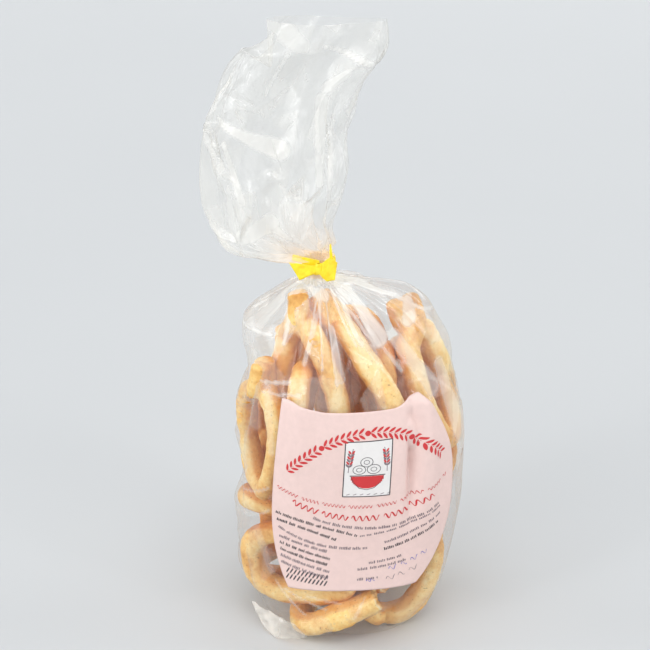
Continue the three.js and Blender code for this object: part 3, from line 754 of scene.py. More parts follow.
def remeshed(points, faces, voxel):
    """One clean skin over a closed mesh, as a new mesh."""
    mesh = bpy.data.meshes.new("rough")
    mesh.from_pydata((points * MM).tolist(), [], faces)
    rough = linked("rough", mesh)
    modifier = rough.modifiers.new("skin", "REMESH")
    modifier.mode = "VOXEL"
    modifier.voxel_size = voxel * MM
    smoother = rough.modifiers.new("smooth", "SMOOTH")
    smoother.factor = REMESH_SMOOTHING
    smoother.iterations = REMESH_PASSES
    made = bpy.data.meshes.new_from_object(rough.evaluated_get(bpy.context.evaluated_depsgraph_get()))
    bpy.data.objects.remove(rough)
    bpy.data.meshes.remove(mesh)
    return made


def mesh_arrays(mesh):
    """A mesh's points in millimetres, and its normals."""
    points = np.zeros(len(mesh.vertices) * 3, np.float32)
    normals = np.zeros(len(mesh.vertices) * 3, np.float32)
    mesh.vertices.foreach_get("co", points)
    mesh.vertices.foreach_get("normal", normals)
    return points.reshape(-1, 3).astype(float) / MM, normals.reshape(-1, 3).astype(float)


def rope_radii(ring, line, seed):
    """The rope's thickness along it: uneven, and a little fuller at its ends."""
    steps = np.arange(len(line)) * LINE_STEP
    spots = np.stack([steps, 0 * steps, 0 * steps], -1)
    uneven = 1 + UNEVEN_LONG * noise(spots, 24, seed) + UNEVEN_SHORT * noise(spots, 9, seed + 1)
    from_end = np.minimum(steps, steps[-1] - steps)
    full = END_FULLNESS[ring["joint"]]
    fuller = full + (1 - full) * smoothstep(from_end, 0, FULL_FROM)
    return ring["rope"] / 2 * uneven * fuller * ring["stout"]


def painted_shade_between(spots, normals, others):
    """Painted shade: how far other biscuits close in on each spot of a biscuit, from 0 to 1, darkening it
    there.
    """
    total = np.zeros(len(spots))
    for centre, radius in zip(*others):
        between = centre - spots
        away = np.maximum(np.linalg.norm(between, axis=1), radius)
        facing = np.maximum((between * normals).sum(1) / away, 0)
        total += facing * (radius / away) ** 2
    return smoothstep(SPHERE_SHARE * total, *PAINTED_SHADE_RANGE)


# Lumps of the crust, of a torn end and of the browning: height or depth of tone, size and seed
CRUST_LUMPS = ((0.75, 15, 0), (0.40, 7, 2), (0.24, 3.1, 3), (0.12, 1.4, 4))
TORN_LUMPS = ((1.5, 2.4, 7), (0.7, 1.1, 8))
BROWN_LUMPS = ((0.36, 19, 9), (0.26, 7.5, 10), (0.16, 3, 11))
CRACK_DEPTH = 0.35
TORN_REACH = 3 * LINE_STEP
PLAIN_BROWN = 0.24
HIGH_SPOTS_BROWN = -0.14
OUTER_EDGE_BROWN = 0.24
FACE_BROWN = 0.16
KNOB_BROWN = 0.2
OUTER_EDGE = (0.82, 1.05)  # from a ring's middle, with 1 at its plain outline
FACE = (0.3, 1.0)  # out of a ring's middle plane, with 1 at the rope's top
KNOB_FADE = (3, 20)  # along the rope from its end
KNOB_SURFACE = (2.5, 7)  # off the rope's centreline


def lumps(spots, kinds, seed):
    """Noise of several sizes together."""
    return sum(height * noise(spots, size, seed + own) for height, size, own in kinds)


def torn_ends(line, nearest, normals, from_end):
    """Where a broken rope shows its crumb: on the faces that look along it at its ends."""
    along = unit(np.gradient(line, axis=0))
    past = np.abs((normals * along[nearest]).sum(1))
    return smoothstep(past, 0.45, 0.8) * (from_end < TORN_REACH)


def crust_relief(spots, torn, seed):
    """How high the crust stands: lumps, thin cracks in some places, and crumbs where it is torn."""
    cracks = 1 - smoothstep(np.abs(noise(spots, 4.5, seed + 5)), 0.0, 0.07)
    cracks = cracks * smoothstep(noise(spots, 17, seed + 6), -0.1, 0.4)
    return lumps(spots, CRUST_LUMPS, seed) - CRACK_DEPTH * cracks + torn * lumps(spots, TORN_LUMPS, seed)


def browning(spots, height, ring, from_end, off_line, seed):
    """How brown each spot is, from 0 to 1: most on the outer edge, the face and the knob."""
    side = spots[:, 2] / (ring["rope"] / 2)
    outward = np.linalg.norm(spots[:, :2] / (ring["length"] / 2, ring["width"] / 2), axis=1)
    brown = PLAIN_BROWN + lumps(spots, BROWN_LUMPS, seed) + HIGH_SPOTS_BROWN * height
    brown += OUTER_EDGE_BROWN * smoothstep(outward, *OUTER_EDGE) + FACE_BROWN * smoothstep(side, *FACE)
    if ring["joint"] == "knob":
        at_knob = (1 - smoothstep(from_end, *KNOB_FADE)) * smoothstep(off_line, *KNOB_SURFACE)
        brown += (KNOB_BROWN - ring["pale"]) * at_knob
    return np.clip(brown, 0, 1)


def biscuit(index, ring, rings, material):
    """One ring biscuit: its rope skinned over, roughened by baking and browned, with painted shade where the
    other biscuits close in.
    """
    seed = 100 * (index + 1)
    line = rope_line(ring)
    mesh = remeshed(*tube(line, rope_radii(ring, line, seed), BLUNTNESS[ring["joint"]]), VOXEL)
    spots, normals = mesh_arrays(mesh)
    nearest = ((spots[:, None] - line[None, ::2]) ** 2).sum(-1).argmin(1) * 2
    steps = nearest * LINE_STEP
    from_end = np.minimum(steps, steps.max() - steps)
    off_line = np.linalg.norm(spots - line[nearest], axis=1)
    torn = np.zeros(len(spots))
    if ring["joint"] == "none":
        torn = torn_ends(line, nearest, normals, from_end)
    height = crust_relief(spots, torn, seed)
    spots = spots + normals * height[:, None]
    brown = browning(spots, height, ring, from_end, off_line, seed)
    placed = spots @ ring["axes"] + ring["middle"]
    placed[:, 2] = np.maximum(placed[:, 2], RESTING_Z)
    others = rope_spheres([other for other in rings if other is not ring])
    mesh.vertices.foreach_set("co", (placed * MM).ravel())
    mesh.update()
    mesh.shade_smooth()
    mesh.name = f"biscuit_{index + 1:02d}"
    mesh.materials.clear()
    mesh.materials.append(material)
    piece = linked(mesh.name, mesh)
    set_values(piece, "brown", brown)
    set_values(piece, "crumb", torn)
    # Painted shade where the other biscuits close in on this one.
    set_values(piece, "painted_shade", painted_shade_between(placed, normals @ ring["axes"], others))
    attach(piece, "root")


# Film

BODY_COLUMNS = 400
BODY_ROWS = 230
BASE_ROWS = 6
FLARE_ROWS = 190
FLARE_COLUMNS = 380
FILM_PASSES = 180
FILM_ROUND = 377.0  # the film's length round the bag
FLOOR_GAP = 0.15
LOOSENESS = -1.0  # how far the film stands off, away from the label
SHADE_SPREAD = 37.0  # makes a facet's shade from its heights
NECK_FULLNESS = 0.9  # how far the gathers fill the tie
FULL_NECK = (2, 14)  # from the neck, where that fullness ends in the body
FLARE_FULL_NECK = (1, 12)
NECK_CORE = 3.2  # the least radius of the gathered film
NECK_FADE = (4, 28)  # from the neck, where the crumples take over from the gathers
HELD_TO = 6  # from the neck, where the gathers are always full
# The milkiness of the facets here and below is painted glints of the lights.
MILK_FADE = (15, 45)  # and where their milkiness does
LOW_MILK = 0.5  # how much of that milkiness is left low in the bag
LOW_MILK_Z = (60, 150)
FOOT_FADE = (0.5, 7)  # heights over which the crumples begin above the base
TOUCHING_SHARE = 0.75  # how much of its crumples the film keeps where it lies on a biscuit
TOUCHING_FADE = 1.5
SHOULDER_CALM = 0.8  # how much calmer the film is at the sides of the shoulders
SHOULDER_CALM_Z = (160, 175)
FLARE_CRUMPLES = (6, 40)  # from the neck, where the flare's crumples begin
FLARE_ROOM = 12  # the flare's half depth, from which its crumples are full
LEAST_ROOM = 0.45
GATHER_ROOM = 0.8
FILM_SINKS = 0.25  # how much nearer than its gap the crumpled film comes to a biscuit
SIDE_PLEATS = 0.3  # how deep the pleats are at the bag's sides, as a share
BODY_VEIL = 0.012  # how milky the film is, from 0 to 1
FLARE_VEIL = 0.14
BODY_DENSE = (0, 4)
FLARE_DENSE = (9, 17)
CORNER_VEIL = (0.45, 0.16)  # at its left end and over the biscuit
CORNER_BLUSH = 0.15
CORNER_THICKNESS = 0.12
CORNER_CREASE = 1.3
CORNER_OVER = (-46, -34)  # where it passes from beside the biscuit to over it, from left to right
CORNER_OUTER = ((-57, -20.4, 14), (-54.5, -22.8, 8), (-49.8, -29.6, 2), (-45.5, -35, 0.6),
                (-38, -41.4, 1.6), (-26, -48.6, 7.2))
CORNER_INNER = ((-56.4, -20.2, 14.6), (-52, -26, 14), (-44.5, -30.5, 12.8), (-38, -39.5, 13.6),
                (-32, -45.4, 14.4), (-25, -49, 8.4))
BASE_TUCK = -6.0  # how far the film draws in round the lowest biscuits
BASE_TUCK_Z = 34
BLUSH = 0.8
BLUSH_TO_Z = 250  # the flare takes on the biscuits' colour up to this height
BLUSH_X = -22
BLUSH_SPREAD = (8, 36)  # and this far to each side of that place

# The left side of the flare's rim is folded down: the path of the film there, by place along it
FOLD_PLACES = (20.0, 20.5, 20.8, 21.1, 21.4, 22.0)
FOLD_PATH = dict(x=(-74, -68, -61, -53, -46, -46.5), z=(320, 331, 339, 334, 330, 356))

# Gathers at the neck: how many, how deep, the shortest, the longest, how milky with painted glints of the
# lights, and seed
BODY_GATHERS = (
    (13, 6.5, 45, 115, 0.10, 5),
    (27, 3.6, 40, 105, 0.17, 9),
    (60, 1.5, 30, 100, 0.11, 12),
    (105, 0.6, 25, 85, 0.08, 14),
)
FLARE_GATHERS = (
    (12, 8.0, 45, 140, 0.05, 15),
    (25, 4.0, 28, 100, 0.08, 19),
    (52, 1.6, 20, 80, 0.05, 23),
)

# Facets of the crumpled film: how wide round it, how long along it, how high and how milky, the milkiness
# painted glints of the lights
BODY_FACETS = ((40, 52, 5.5, 0.08), (17, 22, 3.4, 0.13), (8, 9, 0.7, 0.0))
FLARE_FACETS = ((52, 56, 7.5, 0.10), (23, 26, 4.6, 0.12), (10, 11, 1.1, 0.0))

# Dents that creases run out from: x, z, on the front, radius, height, creases and seed
FLARE_DENTS = (
    (-77, 300, True, 75, 5.5, 13, 3),
    (-46, 331, True, 40, 3.0, 9, 8),
    (-35, 273, True, 30, 3.0, 11, 13),
    (-58, 234, True, 36, 3.5, 9, 21),
    (9, 327, True, 60, 4.0, 11, 34),
    (-12, 296, True, 34, 3.0, 9, 55),
    (-50, 300, False, 70, 4.5, 11, 89),
    (-15, 262, False, 60, 4.0, 11, 90),
)

# Painted glints: white creases of the film in front where the lights glint off it: x, z and width at both
# ends, and how milky
BODY_PAINTED_GLINTS = (
    (-3, 208, 2, 15, 185, 9, 0.50),
    (-4, 210, 1, 23, 203, 1.5, 0.55),
    (23, 203, 1.5, 43, 192, 0.8, 0.40),
    (22, 186, 7, 44, 157, 8, 0.28),
    (-33, 199, 3, -37, 181, 1.5, 0.40),
    (-62, 184, 0.8, -44, 184, 1.4, 0.45),
    (-58, 190, 8, -55, 135, 11, 0.14),
    (-11, 190, 3, -6, 166, 5, 0.24),
    (47, 168, 5, 63, 118, 8, 0.30),
    (-16, 204, 1, -26, 173, 2.5, 0.24),
    (-9, 206, 1, 5, 184, 2.5, 0.26),
    (-23, 208, 5, -16, 203, 7, 0.45),
    (-8, 209, 5, -3, 203, 6, 0.45),
    (-53, 158, 1, -34, 162, 1.6, 0.35),
    (-49, 154, 0.8, -28, 157, 1.4, 0.30),
    (30, 200, 5, 31, 192, 8, 0.34),
    (-15, 205, 0.5, -8, 163, 1.2, 0.32),
    (-18, 204, 0.5, -16, 171, 1.0, 0.28),
    (-12, 206, 0.5, 2, 183, 1.4, 0.32),
    (-8, 207, 0.5, 14, 187, 1.4, 0.28),
    (-5, 207, 0.5, 27, 168, 1.6, 0.28),
    (-19, 204, 0.5, -25, 175, 1.2, 0.28),
    (-46, 157, 5, -44, 120, 3, 0.16),
    (-62, 86, 0.6, -46, 98, 1.2, 0.26),
    (-61, 70, 0.6, -46, 84, 1.0, 0.24),
    (-54, 70, 6, -45, 46, 4, 0.12),
    (-37, 37, 0.8, -14, 26, 1.4, 0.26),
    (-42, 40, 0.8, -26, 20, 1.6, 0.26),
    (-25, 35, 0.8, -6, 31, 1.2, 0.22),
    (8, 35, 0.8, 2, 22, 2.0, 0.20),
    (59, 113, 2, 62, 66, 4, 0.16),
    (54, 48, 1.5, 49, 29, 3, 0.16),
)
FLARE_PAINTED_GLINTS = (
    (-71, 304, 1.6, -39, 289, 12, 0.62),
    (-68, 294, 2, -59, 262, 4.5, 0.60),
    (-62, 262, 4, -56, 246, 9, 0.36),
    (-59, 239, 9, -45, 248, 12, 0.48),
    (-48, 246, 11, -33, 241, 2, 0.42),
    (-17, 316, 7, -18, 270, 3.5, 0.36),
    (-43, 356, 13, -27, 345, 9, 0.24),
    (-15, 345, 1.4, 10, 334, 3.4, 0.38),
    (8, 328, 5, 0, 308, 8, 0.32),
    (-14, 322, 6, -3, 330, 4, 0.26),
    (-66, 269, 2, -64, 237, 5, 0.26),
    (-11, 306, 1.4, -13, 261, 2.4, 0.22),
)


def clearance(points, ways, centres, radii):
    """How far each point has to move its way to clear every sphere that lies on it."""
    most = np.zeros(points.shape[:2])
    for j, (row, way) in enumerate(zip(points, ways)):
        close = np.abs(centres[:, 2] - row[:, 2].mean()) < 45
        between = centres[close][None] - row[:, None]
        b = np.einsum("nmk,nk->nm", between, way)
        under = b * b - (between ** 2).sum(-1) + radii[close][None] ** 2
        away = np.where(under >= 0, b + np.sqrt(np.maximum(under, 0)), 0)
        most[j] = np.maximum(away.max(1), 0)
    return most


def draw_taut(needed, free):
    """The film pushed out as needed, and straight between where it is."""
    pushed = needed.copy()
    for _ in range(FILM_PASSES):
        pushed = np.maximum(needed, four_beside(pushed) / 4 * free)
        pushed[0] = pushed[-1] = 0
    return pushed


def facets(u, v, spacing, seed):
    """Crisp flat facets between scattered spots of the film: heights from -1 to 1, and a shade each.

    u runs round the film and closes on itself; v runs along it. Spacing is (round, along).
    """
    rng = np.random.default_rng(seed)
    columns = max(int(FILM_ROUND / spacing[0]), 3)
    low, high = v.min() - 2 * spacing[1], v.max() + 2 * spacing[1]
    rows = int((high - low) / spacing[1]) + 1
    i, j = np.meshgrid(np.arange(columns), np.arange(rows))
    shift = rng.uniform(-0.45, 0.45, (2, rows, columns))
    across = (i + 0.5 * (j % 2) + shift[0]) * FILM_ROUND / columns
    up = low + (j + shift[1]) * spacing[1]
    height = rng.uniform(-1, 1, (rows, columns))
    spots = [np.stack([across + turn * FILM_ROUND, up, height], -1).reshape(-1, 3) for turn in (-1, 0, 1)]
    spots = np.concatenate(spots)
    keep = (spots[:, 0] > -3 * spacing[0]) & (spots[:, 0] < FILM_ROUND + 3 * spacing[0])
    spots = spots[keep]
    made = delaunay_2d_cdt([Vector(p) for p in spots[:, :2]], [], [], 0, 1e-6)
    corners = [(p.x, p.y, spots[ids[0], 2]) for p, ids in zip(made[0], made[3])]
    tree = BVHTree.FromPolygons(corners, made[2])
    down = Vector((0, 0, -1))
    flat = np.stack([np.mod(u, FILM_ROUND), v], -1).reshape(-1, 2)
    hits = [tree.ray_cast(Vector((a, b, 5)), down) for a, b in flat.tolist()]
    heights = np.array([hit[0].z for hit in hits]).reshape(np.shape(u))
    sums = np.array([sum(corners[k][2] for k in triangle) for triangle in made[2]])
    shades = np.mod(SHADE_SPREAD * sums, 1)[[hit[2] for hit in hits]]
    return heights, shades.reshape(np.shape(u))


def crumple(u, v, sizes, seed):
    """Facets of several sizes together: their relief, and how milky they are, the milkiness a painted glint
    of the lights on some facets.
    """
    relief, milk_and_painted_glint = 0, 0
    for k, (around, along, height, milky) in enumerate(sizes):
        heights, shades = facets(u, v, (around, along), seed + k)
        relief = relief + height * heights
        milk_and_painted_glint = milk_and_painted_glint + milky * smoothstep(shades, 0.6, 0.85)
    return relief, milk_and_painted_glint


def spokes(u, v, middle, radius, depth, count, seed):
    """Sharp creases that radiate from one spot of the film, as film makes where it buckles."""
    rng = np.random.default_rng(seed)
    du = np.mod(u - middle[0] + FILM_ROUND / 2, FILM_ROUND) - FILM_ROUND / 2
    dv = v - middle[1]
    away = np.hypot(du, dv) / radius
    knots = np.sort(rng.uniform(-math.pi, math.pi, count))
    heights = rng.uniform(-1, 1, count)
    heights[::2] = np.abs(heights[::2])
    heights[1::2] = -np.abs(heights[1::2])
    angle = np.arctan2(dv, du)
    spread = np.interp(angle, np.concatenate([knots - 2 * math.pi, knots, knots + 2 * math.pi]),
                       np.tile(heights, 3))
    return depth * spread * np.minimum(away, 1) * 2 * (1 - smoothstep(away, 0.35, 1.0))


PLEAT_SCATTER = 0.42  # of a pleat's place, as a share of the spacing
PLEAT_LEAN = 0.3
LEAST_PLEAT = 0.35  # the lowest pleat's height, as a share of the highest one's
PLEAT_FROM = (-14, 30)  # from the neck, where the pleats rise
PLEAT_FADE = 0.2  # as a share of a pleat's length, from which it flattens out
PLEAT_MILK_FADE = 0.6


def gathers(turns, from_neck, kinds):
    """Straight pleats from the neck outwards, uneven in width, height, length and lean.

    Turns is one row of angles round the film, from_neck each row's distance from the neck. Gives
    the pleats' relief, and how milky each is, the milkiness a painted glint of the lights.
    """
    relief = np.zeros((len(from_neck), len(turns)))
    milk_and_painted_glint = np.zeros_like(relief)
    for count, deepest, shortest, longest, milky, seed in kinds:
        rng = np.random.default_rng(seed)
        scatter = rng.uniform(-PLEAT_SCATTER, PLEAT_SCATTER, count)
        knots = (np.arange(count) + scatter) * 2 * math.pi / count
        high = deepest * rng.uniform(LEAST_PLEAT, 1, count) * np.where(np.arange(count) % 2, -0.8, 0.8)
        ends = shortest + (longest - shortest) * rng.uniform(0, 1, count) ** 1.5
        lean = rng.uniform(-PLEAT_LEAN, PLEAT_LEAN, count) * 2 * math.pi / count
        shade = milky * smoothstep(rng.uniform(0, 1, count), 0.4, 0.8)
        for row, away in enumerate(from_neck):
            share = smoothstep(away, *PLEAT_FROM) * (1 - smoothstep(away, PLEAT_FADE * ends, ends))
            place = knots + lean * away / ends
            spread = np.concatenate([place - 2 * math.pi, place, place + 2 * math.pi])
            order = np.argsort(spread)
            relief[row] += np.interp(turns, spread[order], np.tile(high * share, 3)[order])
            pleat = order[np.searchsorted(spread[order], turns) - 1] % count
            milk_and_painted_glint[row] += (shade * (1 - smoothstep(away, PLEAT_MILK_FADE * ends, ends)))[pleat]
    return relief, milk_and_painted_glint


def painted_glint_creases(grid, front, creases):
    """How milky the white creases make the film, by their lines in its front: painted glints of the lights
    off its creases.
    """
    milk_and_painted_glint = np.zeros(grid.shape[:2])
    spots = grid[..., (0, 2)]
    for x1, z1, wide1, x2, z2, wide2, milky in creases:
        start, run = np.array([x1, z1]), np.array([x2 - x1, z2 - z1])
        share = (spots - start) @ run / (run @ run)
        away = np.linalg.norm(spots - start - np.clip(share, 0, 1)[..., None] * run, axis=-1)
        wide = (wide1 + (wide2 - wide1) * np.clip(share, 0, 1)) / 2 + 0.25
        milk_and_painted_glint = np.maximum(milk_and_painted_glint, milky * (1 - smoothstep(away / wide, 0.7, 1.1)) * front)
    return milk_and_painted_glint


CREASED = (0.12, 0.9)  # how sharply the film bends where it starts to look creased, and fully does
CREASE_MILK = 0.15
CLOUD = 0.35
# A painted glint close to the neck, where the gathered pleats catch the light: how strong, and how far it
# reaches.
NECK_PAINTED_GLINT = 0.3
NECK_PAINTED_GLINT_REACH = 6
MILKIEST = 0.7
GATHERED_MILK = 0.92


def haze_and_painted_glint(relief, milk_and_painted_glint, from_neck, base, dense, seed):
    """How milky the film is, with its painted glints: more where it is creased, with a painted glint close
    to the neck, and most where it gathers at the neck.

    Dense is how far from the neck its layers still hide what is behind, and where that has faded.
    """
    around = np.abs(np.roll(relief, 1, 1) + np.roll(relief, -1, 1) - 2 * relief)
    along = np.zeros_like(relief)
    along[1:-1] = np.abs(relief[2:] + relief[:-2] - 2 * relief[1:-1])
    crease = smoothstep(around + along, *CREASED)
    spots = np.stack([relief * 0 + np.arange(relief.shape[1]), 0 * relief, from_neck + 0 * relief], -1)
    cloud = 1 + CLOUD * noise(spots, 26, seed)
    # A painted glint close to the neck.
    near = NECK_PAINTED_GLINT * np.exp(-from_neck / NECK_PAINTED_GLINT_REACH)
    thin = np.clip(base * cloud + milk_and_painted_glint + CREASE_MILK * crease + near, 0, MILKIEST)
    return thin + (GATHERED_MILK - thin) * (1 - smoothstep(from_neck, *dense))


def film_measures(grid, turn):
    """How far round the film each point of a grid lies, and how far along it."""
    steps = np.linalg.norm(np.diff(grid, axis=0), axis=-1).mean(1)
    v = np.concatenate([[0], np.cumsum(steps)])[:, None] + 0 * turn
    return FILM_ROUND * turn / (2 * math.pi) + 0 * v, v


def film_body(centres, radii):
    """The filled part of the bag's film as a grid of points, rows from the base up to the neck."""
    places = np.linspace(0, NECK_PLACE, BODY_ROWS + 1)[:, None]
    angle = np.linspace(0, 2 * math.pi, BODY_COLUMNS, endpoint=False)[None]
    section = section_at(places)
    z = section["z"] + 0 * angle
    level = direction(section, angle)
    out = reach(section, angle) * fold_factor(places, angle) * taut_factor(z, angle)
    middle = np.stack([section["x"], 0 * section["x"], section["z"]], -1)
    plain = middle + level * out[..., None]
    rise = np.radians(section["rise"])[..., None]
    ways = level * np.cos(rise) + np.array([0, 0, 1.0]) * np.sin(rise)
    filled = (z > FLAT_BASE_Z) & (places < FILLED_TO)
    needed = clearance(plain, ways, centres, radii) * filled
    free = away_from_label(z, angle) * filled
    pushed = draw_taut(needed, free)
    grid = plain + ways * pushed[..., None]
    u, v = film_measures(grid, angle)
    from_neck = v.max() - v
    off_biscuit = smoothstep(pushed - needed, 0.0, TOUCHING_FADE)
    loose = free * smoothstep(z, *FOOT_FADE) * (TOUCHING_SHARE + (1 - TOUCHING_SHARE) * off_biscuit)
    relief, milk_and_painted_glint = crumple(u, v, BODY_FACETS, 11)
    relief = relief * (1 - SHOULDER_CALM * np.cos(angle) ** 4 * smoothstep(z, *SHOULDER_CALM_Z))
    gathered, pleat_painted_glint = gathers(angle[0], from_neck[:, 0], BODY_GATHERS)
    gathered = gathered * (SIDE_PLEATS + (1 - SIDE_PLEATS) * np.abs(np.sin(angle)))
    low = LOW_MILK + (1 - LOW_MILK) * smoothstep(z, *LOW_MILK_Z)
    milk_and_painted_glint = milk_and_painted_glint * smoothstep(from_neck, *MILK_FADE) * low + pleat_painted_glint
    held = np.maximum(free, from_neck < HELD_TO)
    relief = relief * loose * smoothstep(from_neck, *NECK_FADE) + gathered * held
    relief = relief + BASE_TUCK * (1 - smoothstep(z, 5, BASE_TUCK_Z))
    relief = relief + LOOSENESS * loose + NECK_FULLNESS * (1 - smoothstep(from_neck, *FULL_NECK))
    relief = np.maximum(relief, NECK_CORE - reach(section, angle)) + label_creases(z, angle)
    grid = grid + ways * relief[..., None]
    grid = grid + ways * (clearance(grid, ways, centres, radii - FILM_SINKS) * filled)[..., None]
    grid[..., 2] = np.maximum(grid[..., 2], FLOOR_GAP)
    # Painted glints: white streaks along the creases in front.
    milk_and_painted_glint = milk_and_painted_glint + painted_glint_creases(grid, np.sin(angle) < 0, BODY_PAINTED_GLINTS)
    return grid, places[:, 0], angle[0], haze_and_painted_glint(relief, milk_and_painted_glint, from_neck, BODY_VEIL, BODY_DENSE, 61)


# Folds of the label, by their angle from its middle: the valley at the right leans a little more to
# the right for each millimetre up, with a ridge beside it, and another ridge is at the left
VALLEY_AT = 0.50
VALLEY_LEAN = 0.0010
VALLEY_HALF_WIDTH = 0.10
VALLEY_DEPTH = 7.5
VALLEY_FROM = (-25, 25)  # heights above the label's middle over which it begins
VALLEY_TO = (38, 56)  # and over which it flattens out
VALLEY_FLATTER = 0.75
BESIDE_AT = 0.68
BESIDE_HEIGHT = 3.0
RIDGE_AT = -0.66
RIDGE_HALF_WIDTH = 0.16
RIDGE_HEIGHT = 2.0


def label_creases(z, angle):
    """The soft fold and ridges that the label and the film under it share."""
    away = from_label(angle)
    up = z - LABEL_MIDDLE_Z
    inside = 1 - away_from_label(z, angle)
    off = (away - VALLEY_AT - VALLEY_LEAN * up) / VALLEY_HALF_WIDTH
    valley = np.maximum(1 - np.abs(off), 0) ** 1.3 * smoothstep(up, *VALLEY_FROM)
    valley = valley * (1 - VALLEY_FLATTER * smoothstep(up, *VALLEY_TO))
    beside = np.exp(-((away - BESIDE_AT) / VALLEY_HALF_WIDTH) ** 2) * smoothstep(up, -40, 30)
    ridge = np.maximum(1 - np.abs(away - RIDGE_AT) / RIDGE_HALF_WIDTH, 0) * smoothstep(up, -20, 50)
    soft = np.sin(3.1 * away + 0.03 * up + 1.0) * 0.35 + np.sin(0.045 * up + 5.0 * away) * 0.3
    return inside * (-VALLEY_DEPTH * valley + BESIDE_HEIGHT * beside + RIDGE_HEIGHT * ridge + soft)


def flare_fold(places, turn):
    """How the left side of the rim folds down: shifts of the film near it, and how crumpled it stays."""
    target = {name: np.interp(places, FOLD_PLACES, values) for name, values in FOLD_PATH.items()}
    section = section_at(places)
    beside = 1 - smoothstep(np.abs(turn - math.pi), 0.25, 1.0)
    active = smoothstep(places, FOLD_PLACES[0], FOLD_PLACES[1]) * beside
    dx = (target["x"] - section["x"] + section["left"]) * active
    dz = (target["z"] - section["z"]) * active
    return np.stack([dx, 0 * dx, dz], -1), 1 - 0.6 * active


def film_flare():
    """The crumpled film above the tie as a grid of points, rows from the neck up to the rim."""
    turn = np.linspace(0, 2 * math.pi, FLARE_COLUMNS, endpoint=False)[None]
    places = np.linspace(NECK_PLACE, LAST_PLACE, FLARE_ROWS + 1)[:, None]
    section = section_at(places)
    side = np.where(np.cos(turn) < 0, section["left"], section["right"])
    depth = (section["front"] + section["back"]) / 2
    angle = np.arctan2(depth * np.sin(turn), side * np.cos(turn))
    level = direction(section, angle)
    out = reach(section, angle) * fold_factor(places, angle)
    middle = np.stack([section["x"], 0 * section["x"], section["z"]], -1)
    grid = middle + level * out[..., None]
    fold, calm = flare_fold(places, turn)
    grid = grid + fold
    u, v = film_measures(grid, turn)
    loose = smoothstep(v, *FLARE_CRUMPLES)
    relief, milk_and_painted_glint = crumple(u, v, FLARE_FACETS, 41)
    relief = relief * loose
    for x, z, front, radius, high, count, seed in FLARE_DENTS:
        away = np.hypot(grid[..., 0] - x, grid[..., 2] - z) + 1000 * ((np.sin(turn) < 0) != front)
        j, i = np.unravel_index(away.argmin(), away.shape)
        relief += spokes(u, v, (u[j, i], v[j, i]), radius, high, count, seed) * loose
    gathered, pleat_painted_glint = gathers(turn[0], v[:, 0], FLARE_GATHERS)
    out_way = unit(np.stack([np.cos(turn) / side, np.sin(turn) / depth, 0 * depth * turn], -1))
    room = np.minimum(1, (depth - 1.5) / FLARE_ROOM)
    relief = relief * calm * np.maximum(room, LEAST_ROOM) + gathered * np.minimum(room, GATHER_ROOM)
    relief = relief + NECK_FULLNESS * (1 - smoothstep(v, *FLARE_FULL_NECK))
    grid = grid + out_way * relief[..., None]
    # Painted glints: white streaks along the creases in front.
    milk_and_painted_glint = milk_and_painted_glint + pleat_painted_glint + painted_glint_creases(grid, np.sin(turn) < 0, FLARE_PAINTED_GLINTS)
    return grid, haze_and_painted_glint(relief, milk_and_painted_glint, v, FLARE_VEIL, FLARE_DENSE, 67)


def film_corner(material):
    """The corner of the bottom seam, folded out flat in front on the left."""
    grid = between(CORNER_OUTER, CORNER_INNER, 16, 30, CORNER_CREASE, 31)
    piece = sheet_piece("film_corner", grid, material, CORNER_THICKNESS)
    over = smoothstep(grid[..., 0], *CORNER_OVER)
    milky = CORNER_VEIL[0] + (CORNER_VEIL[1] - CORNER_VEIL[0]) * over
    milky = (milky * (1 + 0.4 * noise(grid, 5, 33))).ravel()
    set_values(piece, "haze_and_painted_glint", np.concatenate([milky, milky]))
    set_values(piece, "blush", np.full(2 * len(milky), CORNER_BLUSH))
    return piece


def base_rows(ring):
    """Rows that close the bag's base, from its middle out to its lowest row."""
    shares = np.linspace(0.02, 1, BASE_ROWS, endpoint=False)[:, None, None]
    rows = ring * shares * (1, 1, 0)
    rows[..., 2] = FLOOR_GAP
    return rows


SKIN_LOW_Z = 25
SKIN_HIGH_Z = 168
SKIN_RADIUS = 52  # of the film at the label's middle
SKIN_PASSES = 6


